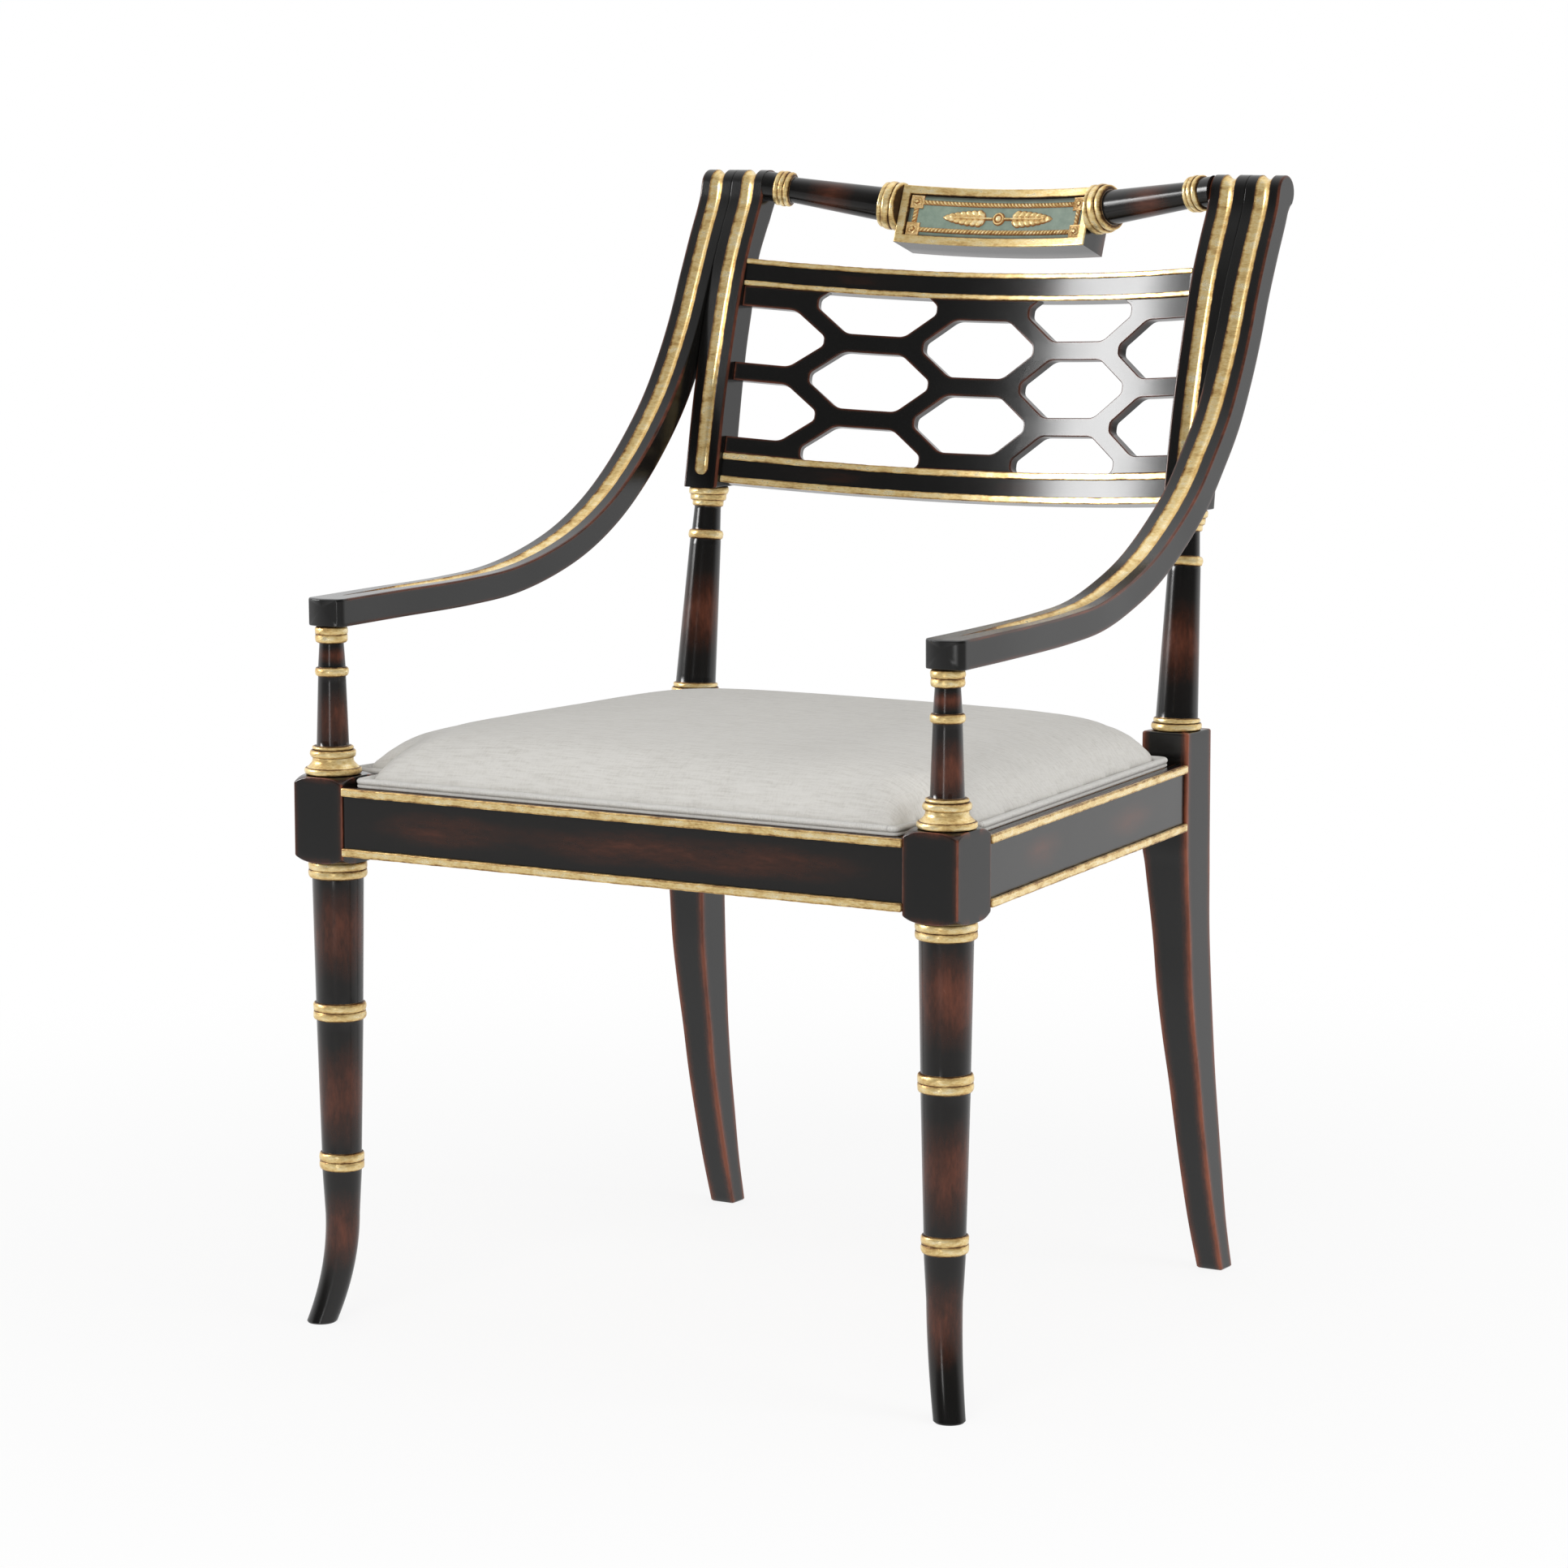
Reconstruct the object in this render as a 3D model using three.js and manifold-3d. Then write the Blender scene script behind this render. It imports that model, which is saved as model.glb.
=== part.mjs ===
// An open armchair with a lattice back, ebonised and parcel gilt, with a drop-in upholstered seat.
// Millimetres. +Z is up, +Y runs from the front of the chair to its back, and +X to the right of
// someone who stands in front of it. The floor is z = 0, and y = 0 lies near the middle of the seat
// until the last lines, which move the whole chair so that its box is centred.
import * as THREE from "three";
import { mergeVertices } from "three/addons/utils/BufferGeometryUtils.js";
import Module from "manifold-3d";

const wasm = await Module();
wasm.setup();

// Driving sizes of the whole chair
const overallHeight = 913.4;
const seatRailTop = 438.7;
const seatRailHeight = 54.6;
const frontLegX = 278.3;
const frontLegY = -221.7;
const backLegX = 234;
const backLegY = 239;
const clearance = 0.3;
const overrun = 8;

// Square block at the head of a front leg, its ends domed as if turned
const frontBlock = { halfWidth: 23.6, halfDepth: 25.6, top: 445.6, bottom: 375.8, dome: 6, crown: 22.8 };

// Turned front leg below its block: radii at the heights where the shape changes
const legCollar = { radius: 23.5, neck: 21.4, bead: 6.7 };
const legUpperRing = { height: 255, radius: 21.2, neck: 18.7, bead: 7 };
const legLowerRing = { height: 132.5, radius: 18.1, neck: 16, bead: 7 };
const legTopRadius = 20.5;
const legAnkle = { height: 87, radius: 13.8 };
const legSole = { radius: 12.3, splayX: 12.4, splayY: 13.6 };

// Post between the front block and the arm, one turning with a tenon at each end
const post = {
  x: 279.8,
  y: -224,
  top: 563.4,
  baseRadius: 22.6,
  baseBead: 8.6,
  neckRadius: 16.2,
  neckRise: 11.5,
  torusRadius: 18.3,
  torusRise: 17.1,
  torusBead: 5.6,
  footRadius: 12.9,
  headRadius: 9.4,
  ringDrop: 35.8,
  ringRadius: 12.9,
  ringBead: 6.6,
  collarRadius: 12.9,
  collarBead: 6.1,
};
const tenonRadius = 6.5;
const tenonLength = 15;

// Arm: the middle line of its top face, from the nose to the roll at the head of the back
const arm = {
  noseX: 280.7,
  noseY: -231.5,
  noseZ: 586,
  noseBow: 6,
  noseWidth: 33.6,
  headWidth: 31.2,
  noseThickness: 22.4,
  headThickness: 21.5,
};

// Upright of the back, beside the head of the arm
const upright = { inner: 215, outer: 247.7, foot: 643, footY: 243.7, headY: 337.5, rollRadius: 14 };
const rollHeight = overallHeight - upright.rollRadius;
const uprightRun = upright.headY - upright.footY;
const uprightRise = rollHeight - upright.foot;

// Round-bottomed flute down the face of arms and uprights
const flute = { width: 12, depth: 3.6, start: 18, fade: 26, arris: 1.5 };

// Column under the upright
const column = {
  x: 233.5,
  y: 239.2,
  lean: 19.9,
  drawIn: 2.5,
  baseRadius: 20.7,
  baseBead: 9,
  coveRadius: 17.8,
  footRadius: 17.3,
  headRadius: 11.4,
  ringDrop: 41.1,
  ringRadius: 15.1,
  ringBead: 7.7,
  capitalBead: 5.6,
  capitalRadii: [13.4, 15.6, 17.2],
};

// Back leg: a square sabre leg that grows out of the block behind the seat
const backBlock = { halfWidth: 21, halfDepth: 21.4, top: 464.2, arris: 2.2 };
const backFoot = { inner: 230.3, outer: 253.8, front: 295.4, rear: 315.5 };

// Seat rails and their gilt mouldings
const rail = { thickness: 22, recess: 3.5, backThickness: 22, backInner: 229 };
const moulding = { height: 6.6, thickness: 3.2 };
const frontRailY = -249.1;
const sideRailFrontX = 303.1;
const sideRailBackX = 256;
const railTenon = { thickness: 10, height: 26, length: 17 };

// Drop-in seat: plan of its edge, board, welt and cushion
const seat = {
  frontX: 246.8,
  frontY: -241,
  notchY: -189,
  sideX: 290.5,
  sideBackX: 244.6,
  sideBackY: 205,
  tongueX: 205,
  backY: 233,
  corner: 7,
  board: 12,
  boardInset: 1.2,
};
const welt = { radius: 2.9 };
const cushion = { rim: 25, rimWidth: 60, crown: 19.3, drawIn: 3.4 };

// Braces in the corners of the seat frame, and the screws that hold the seat down through them
const brace = { height: 32, frontReach: 54, sideReach: 46, backReach: 52 };
const screw = { radius: 2.2, headRadius: 4.6, headHeight: 3, bite: 9, inset: 17 };

// Bowed and raked sheet that holds the lattice and its two rails. It starts a little above and behind
// the feet of the uprights, and the middle of its upper rail follows their run and rise.
const sheetSetBack = 7.3;
const sheetRise = 5;
const upperRailShares = { run: 0.4613, rise: 0.6975 };
const upperRailMiddle = new THREE.Vector2(upperRailShares.run * uprightRun, upperRailShares.rise * uprightRise);
const sheet = {
  y: upright.footY + sheetSetBack,
  z: upright.foot + sheetRise,
  rake: Math.atan2(upperRailMiddle.x, upperRailMiddle.y),
  bow: 42,
  halfSpan: upright.inner,
};
const railHeights = { lower: 25.6, upper: 23 };
const lowerRail = { low: 0, height: railHeights.lower };
const upperRail = { low: upperRailMiddle.length() - railHeights.upper / 2, height: railHeights.upper };
const backRail = { thickness: 18, rebate: 2, steps: 14, tenonDepth: 8, tenonHeight: 13, tenonThickness: 8 };
const lowerBead = { height: 5.7, proud: 1.4 };
const upperBead = { height: 4.4, proud: 1.4 };

// Lattice between the rails: its rows of hexagons follow the gap, and their heights the rise of a row
const latticeGap = upperRail.low - lowerRail.low - lowerRail.height;
const latticeShares = { centre: 0.4888, rise: 0.4425, halfHeight: 0.377, halfBlunt: 0.0615 };
const latticeRise = latticeGap * latticeShares.rise;
const lattice = {
  thickness: 10,
  pitch: 98,
  rise: latticeRise,
  centre: lowerRail.low + lowerRail.height + latticeGap * latticeShares.centre,
  halfWidth: 53,
  halfHeight: latticeRise * latticeShares.halfHeight,
  halfFlat: 26,
  halfBlunt: latticeRise * latticeShares.halfBlunt,
  steps: 18,
};

// Crest: a bowed tablet between two turned rods. Its foot lies a share of the uprights' rise below
// the middles of their rolled heads.
const tabletDropShare = 0.1775;
const tablet = {
  y: 335,
  z: rollHeight - tabletDropShare * uprightRise,
  rake: THREE.MathUtils.degToRad(21.4),
  height: 51.7,
  halfSpan: 92,
  bow: 9,
  thickness: 40,
  border: 7.4,
  recess: 6,
  steps: 10,
};
const crestPanel = { thickness: 2.2, relief: 2.2, rope: 3.6, ropeInset: 6.4, rosette: 5.2, boss: 5.4 };
const leaf = { start: 11, length: 39, halfHeight: 9.6, stem: 1.3 };
const rod = {
  outerY: 332.5,
  outerRise: 0.2,
  innerY: 355,
  innerRise: 28.3,
  bossRadius: 12.6,
  bossLength: 8.5,
  outerRingRadius: 15,
  outerBead: 6.6,
  slimRadius: 11,
  stoutRadius: 14.5,
  innerRingRadius: 21,
  innerBead: 9.4,
  pinSetBack: 9,
};
const dowel = { radius: 4, length: 24 };

const finish = (color, roughness, metalness) => new THREE.MeshStandardMaterial({ color, roughness, metalness });
const ebonised = () => finish(0x1a1614, 0.28, 0);
const gilded = () => finish(0xd3ab66, 0.4, 0.55);
const beech = () => finish(0xb68d60, 0.7, 0);

const polar = (radius, angle) => new THREE.Vector2(radius * Math.cos(angle), radius * Math.sin(angle));
const mix = THREE.MathUtils.lerp;
const onFloor = (point) => new THREE.Vector3(point.x, point.y, 0);

// Shared vertices only, no slivers without an area, faces pointing out.
function tidy(geometry) {
  const bare = geometry.clone();
  bare.deleteAttribute("normal");
  bare.deleteAttribute("uv");
  const merged = mergeVertices(bare, clearance / 1000);
  const corners = merged.index.array;
  const place = merged.attributes.position;
  const corner = (i) => new THREE.Vector3().fromBufferAttribute(place, corners[i]);
  const kept = [];
  let volume = 0;
  for (let i = 0; i < corners.length; i += 3) {
    const [a, b, c] = corners.slice(i, i + 3);
    if (a !== b && b !== c && c !== a) {
      kept.push(a, b, c);
      volume += corner(i).dot(corner(i + 1).cross(corner(i + 2)));
    }
  }
  merged.setIndex(volume < 0 ? kept.reverse() : kept);
  return merged;
}

function toSolid(geometry) {
  const vertProperties = new Float32Array(geometry.attributes.position.array);
  const triVerts = new Uint32Array(geometry.index.array);
  return new wasm.Manifold(new wasm.Mesh({ numProp: 3, vertProperties, triVerts }));
}

function fromSolid(solid) {
  const mesh = solid.getMesh();
  const geometry = new THREE.BufferGeometry();
  geometry.setAttribute("position", new THREE.BufferAttribute(mesh.vertProperties, 3));
  geometry.setIndex([...mesh.triVerts]);
  return geometry;
}

function join(first, ...others) {
  return fromSolid(others.reduce((whole, other) => whole.add(toSolid(other)), toSolid(first)));
}

function cut(body, ...tools) {
  return fromSolid(tools.reduce((whole, tool) => whole.subtract(toSolid(tool)), toSolid(body)));
}

const mirrored = (geometry) => tidy(geometry.clone().scale(-1, 1, 1));

const middleOf = (ring) => ring.reduce((sum, point) => sum.add(point), new THREE.Vector3()).divideScalar(ring.length);

// A flat lid over one ring of points, as corner numbers that run the same way round as the ring.
function lid(ring) {
  const middle = middleOf(ring);
  const normal = new THREE.Vector3();
  ring.forEach((point, i) => {
    const next = ring[(i + 1) % ring.length];
    normal.add(point.clone().sub(middle).cross(next.clone().sub(middle)));
  });
  normal.normalize();
  const steepest = Math.abs(normal.x) > 0.9 ? new THREE.Vector3(0, 1, 0) : new THREE.Vector3(1, 0, 0);
  const across = steepest.cross(normal).normalize();
  const along = normal.clone().cross(across);
  const spread = ring.map((point) => new THREE.Vector2(point.dot(across), point.dot(along)));
  const turnsLeft = ([a, b, c]) => spread[b].clone().sub(spread[a]).cross(spread[c].clone().sub(spread[a])) > 0;
  const faces = THREE.ShapeUtils.triangulateShape(spread, []);
  return faces.map((face) => (turnsLeft(face) ? face : [face[2], face[1], face[0]]));
}

// A closed solid through a row of rings with as many points in each. Its ends are flat lids or,
// for rings with points in a straight line, fans about the middle of the ring.
function loft(rings, fanned = false) {
  const count = rings[0].length;
  const points = rings.flat();
  const index = [];
  for (let i = 0; i + 1 < rings.length; i += 1) {
    for (let j = 0; j < count; j += 1) {
      const a = i * count + j;
      const b = i * count + ((j + 1) % count);
      index.push(a, b, b + count);
      index.push(a, b + count, a + count);
    }
  }
  const last = (rings.length - 1) * count;
  if (fanned) {
    const middles = [rings[0], rings.at(-1)].map((ring) => middleOf(ring));
    points.push(...middles);
    const [under, over] = [points.length - 2, points.length - 1];
    for (let j = 0; j < count; j += 1) {
      const next = (j + 1) % count;
      index.push(under, next, j);
      index.push(over, last + j, last + next);
    }
  } else {
    lid(rings[0]).forEach(([a, b, c]) => index.push(c, b, a));
    lid(rings.at(-1)).forEach(([a, b, c]) => index.push(last + a, last + b, last + c));
  }
  const geometry = new THREE.BufferGeometry().setFromPoints(points);
  geometry.setIndex(index);
  return tidy(geometry);
}

// A round solid about the line from start to end. The profile lists [radius, distance along it].
const turnedSides = 14;
function turned(profile, start, end) {
  const closed = [[0, profile[0][1]], ...profile, [0, profile.at(-1)[1]]];
  const points = closed.map(([radius, distance]) => new THREE.Vector2(radius, distance));
  const lathe = new THREE.LatheGeometry(points, turnedSides);
  const aim = new THREE.Quaternion().setFromUnitVectors(new THREE.Vector3(0, 1, 0), end.clone().sub(start).normalize());
  lathe.applyQuaternion(aim);
  return tidy(lathe.translate(start.x, start.y, start.z));
}

function cylinder(radius, start, end) {
  const length = start.distanceTo(end);
  return turned([[radius, 0], [radius, length]], start, end);
}

function box(low, high) {
  const size = high.clone().sub(low);
  const middle = low.clone().add(high).divideScalar(2);
  return tidy(new THREE.BoxGeometry(size.x, size.y, size.z).translate(middle.x, middle.y, middle.z));
}

// An upright slab over a plan outline, from z = low to z = high.
function slab(outline, low, high) {
  const geometry = new THREE.ExtrudeGeometry(new THREE.Shape(outline), { depth: high - low, bevelEnabled: false });
  return tidy(geometry.translate(0, 0, low));
}

// Half-round beads one above the other, as profile points from the lowest neck to the highest.
const beadShares = [0.25, 0.75];
function beads(foot, bead, count, neck, radius) {
  const points = [[neck, foot]];
  for (let i = 0; i < count; i += 1) {
    beadShares.forEach((share) => points.push([radius, foot + (i + share) * bead]));
    points.push([neck, foot + (i + 1) * bead]);
  }
  return points;
}

const chair = new THREE.Group();

// Hands a solid, shaped in the chair's own coordinates, to a named mesh that stands at its anchor.
function add(name, geometry, material, anchor) {
  const mesh = new THREE.Mesh(geometry.clone().translate(-anchor.x, -anchor.y, -anchor.z), material);
  mesh.name = name;
  mesh.position.copy(anchor);
  chair.add(mesh);
}

// The right-hand piece and its mirror image on the left.
function addPair(name, geometry, material, anchor) {
  add(`${name}_right`, geometry, material, anchor);
  add(`${name}_left`, mirrored(geometry), material.clone(), anchor.clone().setX(-anchor.x));
}

// Ring of points round a rectangle with softened arrises, trimmed to a circle of the given reach.
const quarterShares = [0, 0.27, 0.465, 0.535, 0.73];
function blockRing(centre, halfWidth, halfDepth, reach) {
  const ring = [];
  for (let quarter = 0; quarter < 4; quarter += 1) {
    for (const share of quarterShares) {
      const turn = ((quarter + share) * Math.PI) / 2;
      const ray = new THREE.Vector2(halfWidth * Math.cos(turn), halfDepth * Math.sin(turn)).normalize();
      const toSide = Math.min(halfWidth / Math.abs(ray.x), halfDepth / Math.abs(ray.y));
      const radius = Math.min(toSide, reach);
      ring.push(new THREE.Vector3(centre.x + ray.x * radius, centre.y + ray.y * radius, centre.z));
    }
  }
  return ring;
}

// Tool or tenon bar that runs inside a seat rail, from one end of the rail to the other
const tenonLow = seatRailTop - seatRailHeight + (seatRailHeight - railTenon.height) / 3;
const tenonHigh = tenonLow + railTenon.height;
const railInset = rail.recess + (rail.thickness - railTenon.thickness) / 2;

const frontBlockInner = frontLegX - frontBlock.halfWidth;
const frontBlockBack = frontLegY + frontBlock.halfDepth;
const backBlockInner = backLegX - backBlock.halfWidth;
const backBlockFront = backLegY - backBlock.halfDepth;
const seatRailFoot = seatRailTop - seatRailHeight;

// Outer face of the side rails: x at a given y
const sideSlope = (sideRailBackX - sideRailFrontX) / (backBlockFront - frontBlockBack);
const sideX = (y) => sideRailFrontX + sideSlope * (y - frontBlockBack);

// A bar along the side rail: inset from its outer face, between two y planes and two heights.
function sideBar(inset, thickness, front, back, low, high) {
  const outline = [
    new THREE.Vector2(sideX(front) - inset, front),
    new THREE.Vector2(sideX(back) - inset, back),
    new THREE.Vector2(sideX(back) - inset - thickness, back),
    new THREE.Vector2(sideX(front) - inset - thickness, front),
  ];
  return slab(outline, low, high);
}

function crossBar(front, thickness, halfLength, low, high) {
  return box(new THREE.Vector3(-halfLength, front, low), new THREE.Vector3(halfLength, front + thickness, high));
}

const frontTenon = (gap) =>
  crossBar(
    frontRailY + railInset - gap,
    railTenon.thickness + 2 * gap,
    frontBlockInner + railTenon.length + gap,
    tenonLow - gap,
    tenonHigh + gap,
  );
const sideTenon = (gap) =>
  sideBar(
    railInset - gap,
    railTenon.thickness + 2 * gap,
    frontBlockBack - railTenon.length - gap,
    backBlockFront + railTenon.length + gap,
    tenonLow - gap,
    tenonHigh + gap,
  );
const backTenon = (gap) =>
  crossBar(
    rail.backInner + (rail.backThickness - railTenon.thickness) / 2 - gap,
    railTenon.thickness + 2 * gap,
    backBlockInner + railTenon.length / 2 + gap,
    tenonLow - gap,
    tenonHigh + gap,
  );

// Front leg: sabre foot, tapered shaft with two double rings, collar and domed block in one piece
function frontLeg() {
  const collarFoot = frontBlock.bottom - 2 * legCollar.bead;
  const profile = [
    [legSole.radius, 0],
    [mix(legSole.radius, legAnkle.radius, 0.1), legAnkle.height * 0.1],
    [mix(legSole.radius, legAnkle.radius, 0.2), legAnkle.height * 0.24],
    [mix(legSole.radius, legAnkle.radius, 0.45), legAnkle.height * 0.45],
    [mix(legSole.radius, legAnkle.radius, 0.7), legAnkle.height * 0.7],
    [legAnkle.radius, legAnkle.height],
    ...beads(legLowerRing.height - legLowerRing.bead, legLowerRing.bead, 2, legLowerRing.neck, legLowerRing.radius),
    ...beads(legUpperRing.height - legUpperRing.bead, legUpperRing.bead, 2, legUpperRing.neck, legUpperRing.radius),
    [legTopRadius, collarFoot - legCollar.bead],
    ...beads(collarFoot, legCollar.bead, 2, legCollar.neck, legCollar.radius),
  ];
  const corner = Math.hypot(frontBlock.halfWidth, frontBlock.halfDepth);
  const domeShares = [0, 0.35, 0.65, 1];
  const reach = (share) => mix(frontBlock.crown, corner, share);
  domeShares.forEach((share) => profile.push([reach(share), frontBlock.bottom + clearance + frontBlock.dome * share ** 2]));
  const top = domeShares.toReversed();
  top.forEach((share) => profile.push([reach(share), frontBlock.top - frontBlock.dome * share ** 2]));
  const rings = profile.map(([radius, height]) => {
    const splay = Math.max(0, 1 - height / legAnkle.height) ** 2;
    const centre = new THREE.Vector3(frontLegX + legSole.splayX * splay, frontLegY - legSole.splayY * splay, height);
    return blockRing(centre, frontBlock.halfWidth, frontBlock.halfDepth, radius);
  });
  const socketFoot = new THREE.Vector3(post.x, post.y, frontBlock.top - tenonLength - clearance);
  const socketMouth = socketFoot.clone().setZ(frontBlock.top + overrun);
  return cut(loft(rings), frontTenon(clearance), sideTenon(clearance), cylinder(tenonRadius + clearance, socketFoot, socketMouth));
}

// Post: base torus, neck, small torus, tapered column with a ring, and a double collar at the arm
function armPost() {
  const foot = frontBlock.top + clearance;
  const collarFoot = post.top - 2 * post.collarBead;
  const torusHeight = foot + post.torusRise;
  const ringHeight = post.top - post.ringDrop;
  const torusFoot = torusHeight - post.torusBead / 2;
  const ringFoot = ringHeight - post.ringBead / 2;
  const ringShare = (ringHeight - torusHeight) / (post.top - torusHeight);
  const profile = [
    [tenonRadius, foot - tenonLength],
    [tenonRadius, foot],
    [mix(post.neckRadius, post.baseRadius, 0.7), foot],
    [post.baseRadius, foot + post.baseBead * 0.25],
    [post.baseRadius, foot + post.baseBead * 0.55],
    [mix(post.neckRadius, post.baseRadius, 0.65), foot + post.baseBead],
    [post.neckRadius, foot + post.neckRise],
    ...beads(torusFoot, post.torusBead, 1, post.neckRadius, post.torusRadius),
    [post.footRadius, torusFoot + post.torusBead * 1.2],
    ...beads(ringFoot, post.ringBead, 1, mix(post.footRadius, post.headRadius, ringShare), post.ringRadius),
    [post.headRadius, collarFoot - post.ringBead / 2],
    ...beads(collarFoot, post.collarBead, 2, mix(post.headRadius, post.collarRadius, 0.7), post.collarRadius),
    [tenonRadius, post.top],
    [tenonRadius, post.top + tenonLength],
  ];
  const axis = new THREE.Vector3(post.x, post.y, 0);
  return turned(profile, axis, axis.clone().setZ(overallHeight));
}

const roll = new THREE.Vector2(upright.headY, rollHeight);
const uprightPoint = ([run, rise]) => new THREE.Vector2(upright.footY + run * uprightRun, upright.foot + rise * uprightRise);

// Side view of the upright, as shares of its run and rise, front face and rear face
const uprightFaceShares = [[0, 0], [0.182, 0.325], [0.343, 0.538], [0.431, 0.645], [0.537, 0.751], [0.674, 0.857], [0.815, 0.959]];
const uprightRearShares = [[0.34, 0], [0.426, 0.209], [0.554, 0.452], [0.654, 0.586], [0.768, 0.752], [0.895, 0.839], [0.97, 0.883]];
const notchShare = [1.075, 0.956];
const rollAngles = [150, 118, 86, 54, 22, -10, -36].map((angle) => THREE.MathUtils.degToRad(angle));
const uprightStations = 9;

// Stations over the roll: the face runs round the roll while the rear closes in on the notch.
function rollStations(lastRear) {
  const notch = uprightPoint(notchShare);
  return rollAngles.map((angle, i) => ({
    face: polar(upright.rollRadius, angle).add(roll),
    rear: lastRear.clone().lerp(notch, (i + 1) / rollAngles.length),
  }));
}

// One fluted member, a ring of points at each station across its width.
const fluteShares = [[-0.5, 0], [-0.27, 0.8], [0, 1], [0.27, 0.8], [0.5, 0]];
function fluted(stations) {
  const rings = stations.map(({ face, rear, x, width, fluteDepth = flute.depth, bow = 0 }) => {
    const inward = rear.clone().sub(face).normalize();
    const half = width / 2;
    const rearward = face.distanceTo(rear);
    const section = [[-half, flute.arris], [-half + flute.arris, 0]];
    fluteShares.forEach(([across, down]) => section.push([across * flute.width, down * fluteDepth]));
    section.push([half - flute.arris, 0], [half, flute.arris], [half, rearward - flute.arris], [half - flute.arris, rearward]);
    section.push([0, rearward], [flute.arris - half, rearward], [-half, rearward - flute.arris]);
    return section.map(([across, down]) => {
      const at = face.clone().addScaledVector(inward, down);
      const forward = bow * (1 - (across / half) ** 2);
      return new THREE.Vector3(x + across, at.x - forward, at.y);
    });
  });
  return loft(rings);
}

const uprightWidth = upright.outer - upright.inner;
const uprightMiddle = (upright.outer + upright.inner) / 2;

function uprightStationList() {
  const face = new THREE.SplineCurve(uprightFaceShares.map(uprightPoint));
  const rear = new THREE.SplineCurve(uprightRearShares.map(uprightPoint));
  const list = [];
  for (let i = 0; i < uprightStations; i += 1) {
    const share = i / (uprightStations - 1);
    list.push({ face: face.getPoint(share), rear: rear.getPoint(share) });
  }
  return [...list, ...rollStations(list.at(-1).rear)];
}

// Dowels that tie the head of the arm to the upright, at two places up the shared length
const dowelShares = [0.74, 0.9];
function armDowel(share, gap) {
  const face = uprightPoint([0.5, share]);
  const stations = uprightStationList();
  const nearest = stations.reduce((best, station) =>
    Math.abs(station.face.y - face.y) < Math.abs(best.face.y - face.y) ? station : best);
  const middle = nearest.face.clone().lerp(nearest.rear, 0.5);
  const half = dowel.length / 2 + gap;
  const seam = upright.outer + clearance / 2;
  return cylinder(
    dowel.radius + gap,
    new THREE.Vector3(seam - half, middle.x, middle.y),
    new THREE.Vector3(seam + half, middle.x, middle.y),
  );
}

// Turned column: beads over a cove at its foot, one ring, three beads of growing size at its head
function columnLine() {
  const foot = new THREE.Vector3(column.x, column.y, backBlock.top + clearance);
  const rise = upright.foot - clearance - foot.z;
  return { foot, head: foot.clone().add(new THREE.Vector3(-column.drawIn, column.lean, rise)) };
}

function backColumn() {
  const { foot, head } = columnLine();
  const length = foot.distanceTo(head);
  const ringHeight = head.z - column.ringDrop;
  const ringFoot = ringHeight - column.ringBead / 2 - foot.z;
  const capitalFoot = length - column.capitalRadii.length * column.capitalBead;
  const ringRadius = mix(column.footRadius, column.headRadius, ringHeight / upright.foot);
  const sunk = column.baseBead / 2;
  const profile = [
    [column.coveRadius, -sunk],
    [column.baseRadius, sunk / 2],
    [column.baseRadius, column.baseBead * 0.8],
    [column.coveRadius, column.baseBead * 1.1],
    [column.footRadius, column.baseBead * 1.45],
    [mix(column.footRadius, column.headRadius, 0.3), column.baseBead * 4],
    ...beads(ringFoot, column.ringBead, 1, ringRadius, column.ringRadius),
    [column.headRadius, capitalFoot - column.capitalBead / 4],
  ];
  column.capitalRadii.forEach((radius, i) => {
    profile.push(...beads(capitalFoot + i * column.capitalBead, column.capitalBead, 1, radius - column.capitalBead / 4, radius));
  });
  profile.push([column.capitalRadii.at(-1), length + sunk]);
  const reach = column.baseRadius + overrun;
  const under = box(
    new THREE.Vector3(foot.x - reach, foot.y - reach, foot.z - overrun - sunk),
    new THREE.Vector3(foot.x + reach, foot.y + reach, foot.z),
  );
  const above = box(
    new THREE.Vector3(head.x - reach, head.y - reach, head.z),
    new THREE.Vector3(head.x + reach, head.y + reach, head.z + overrun + sunk),
  );
  const trimmed = cut(turned(profile, foot, head), under, above);
  return join(trimmed, columnPin(foot, tenonLength, 0), columnPin(head, tenonLength, 0));
}

// Upright round tenon centred on one end of the column, or the socket for it.
function columnPin(end, length, gap) {
  const low = end.clone().setZ(end.z - length - gap);
  const high = end.clone().setZ(end.z + length + gap);
  return cylinder(tenonRadius + gap, low, high);
}

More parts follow.
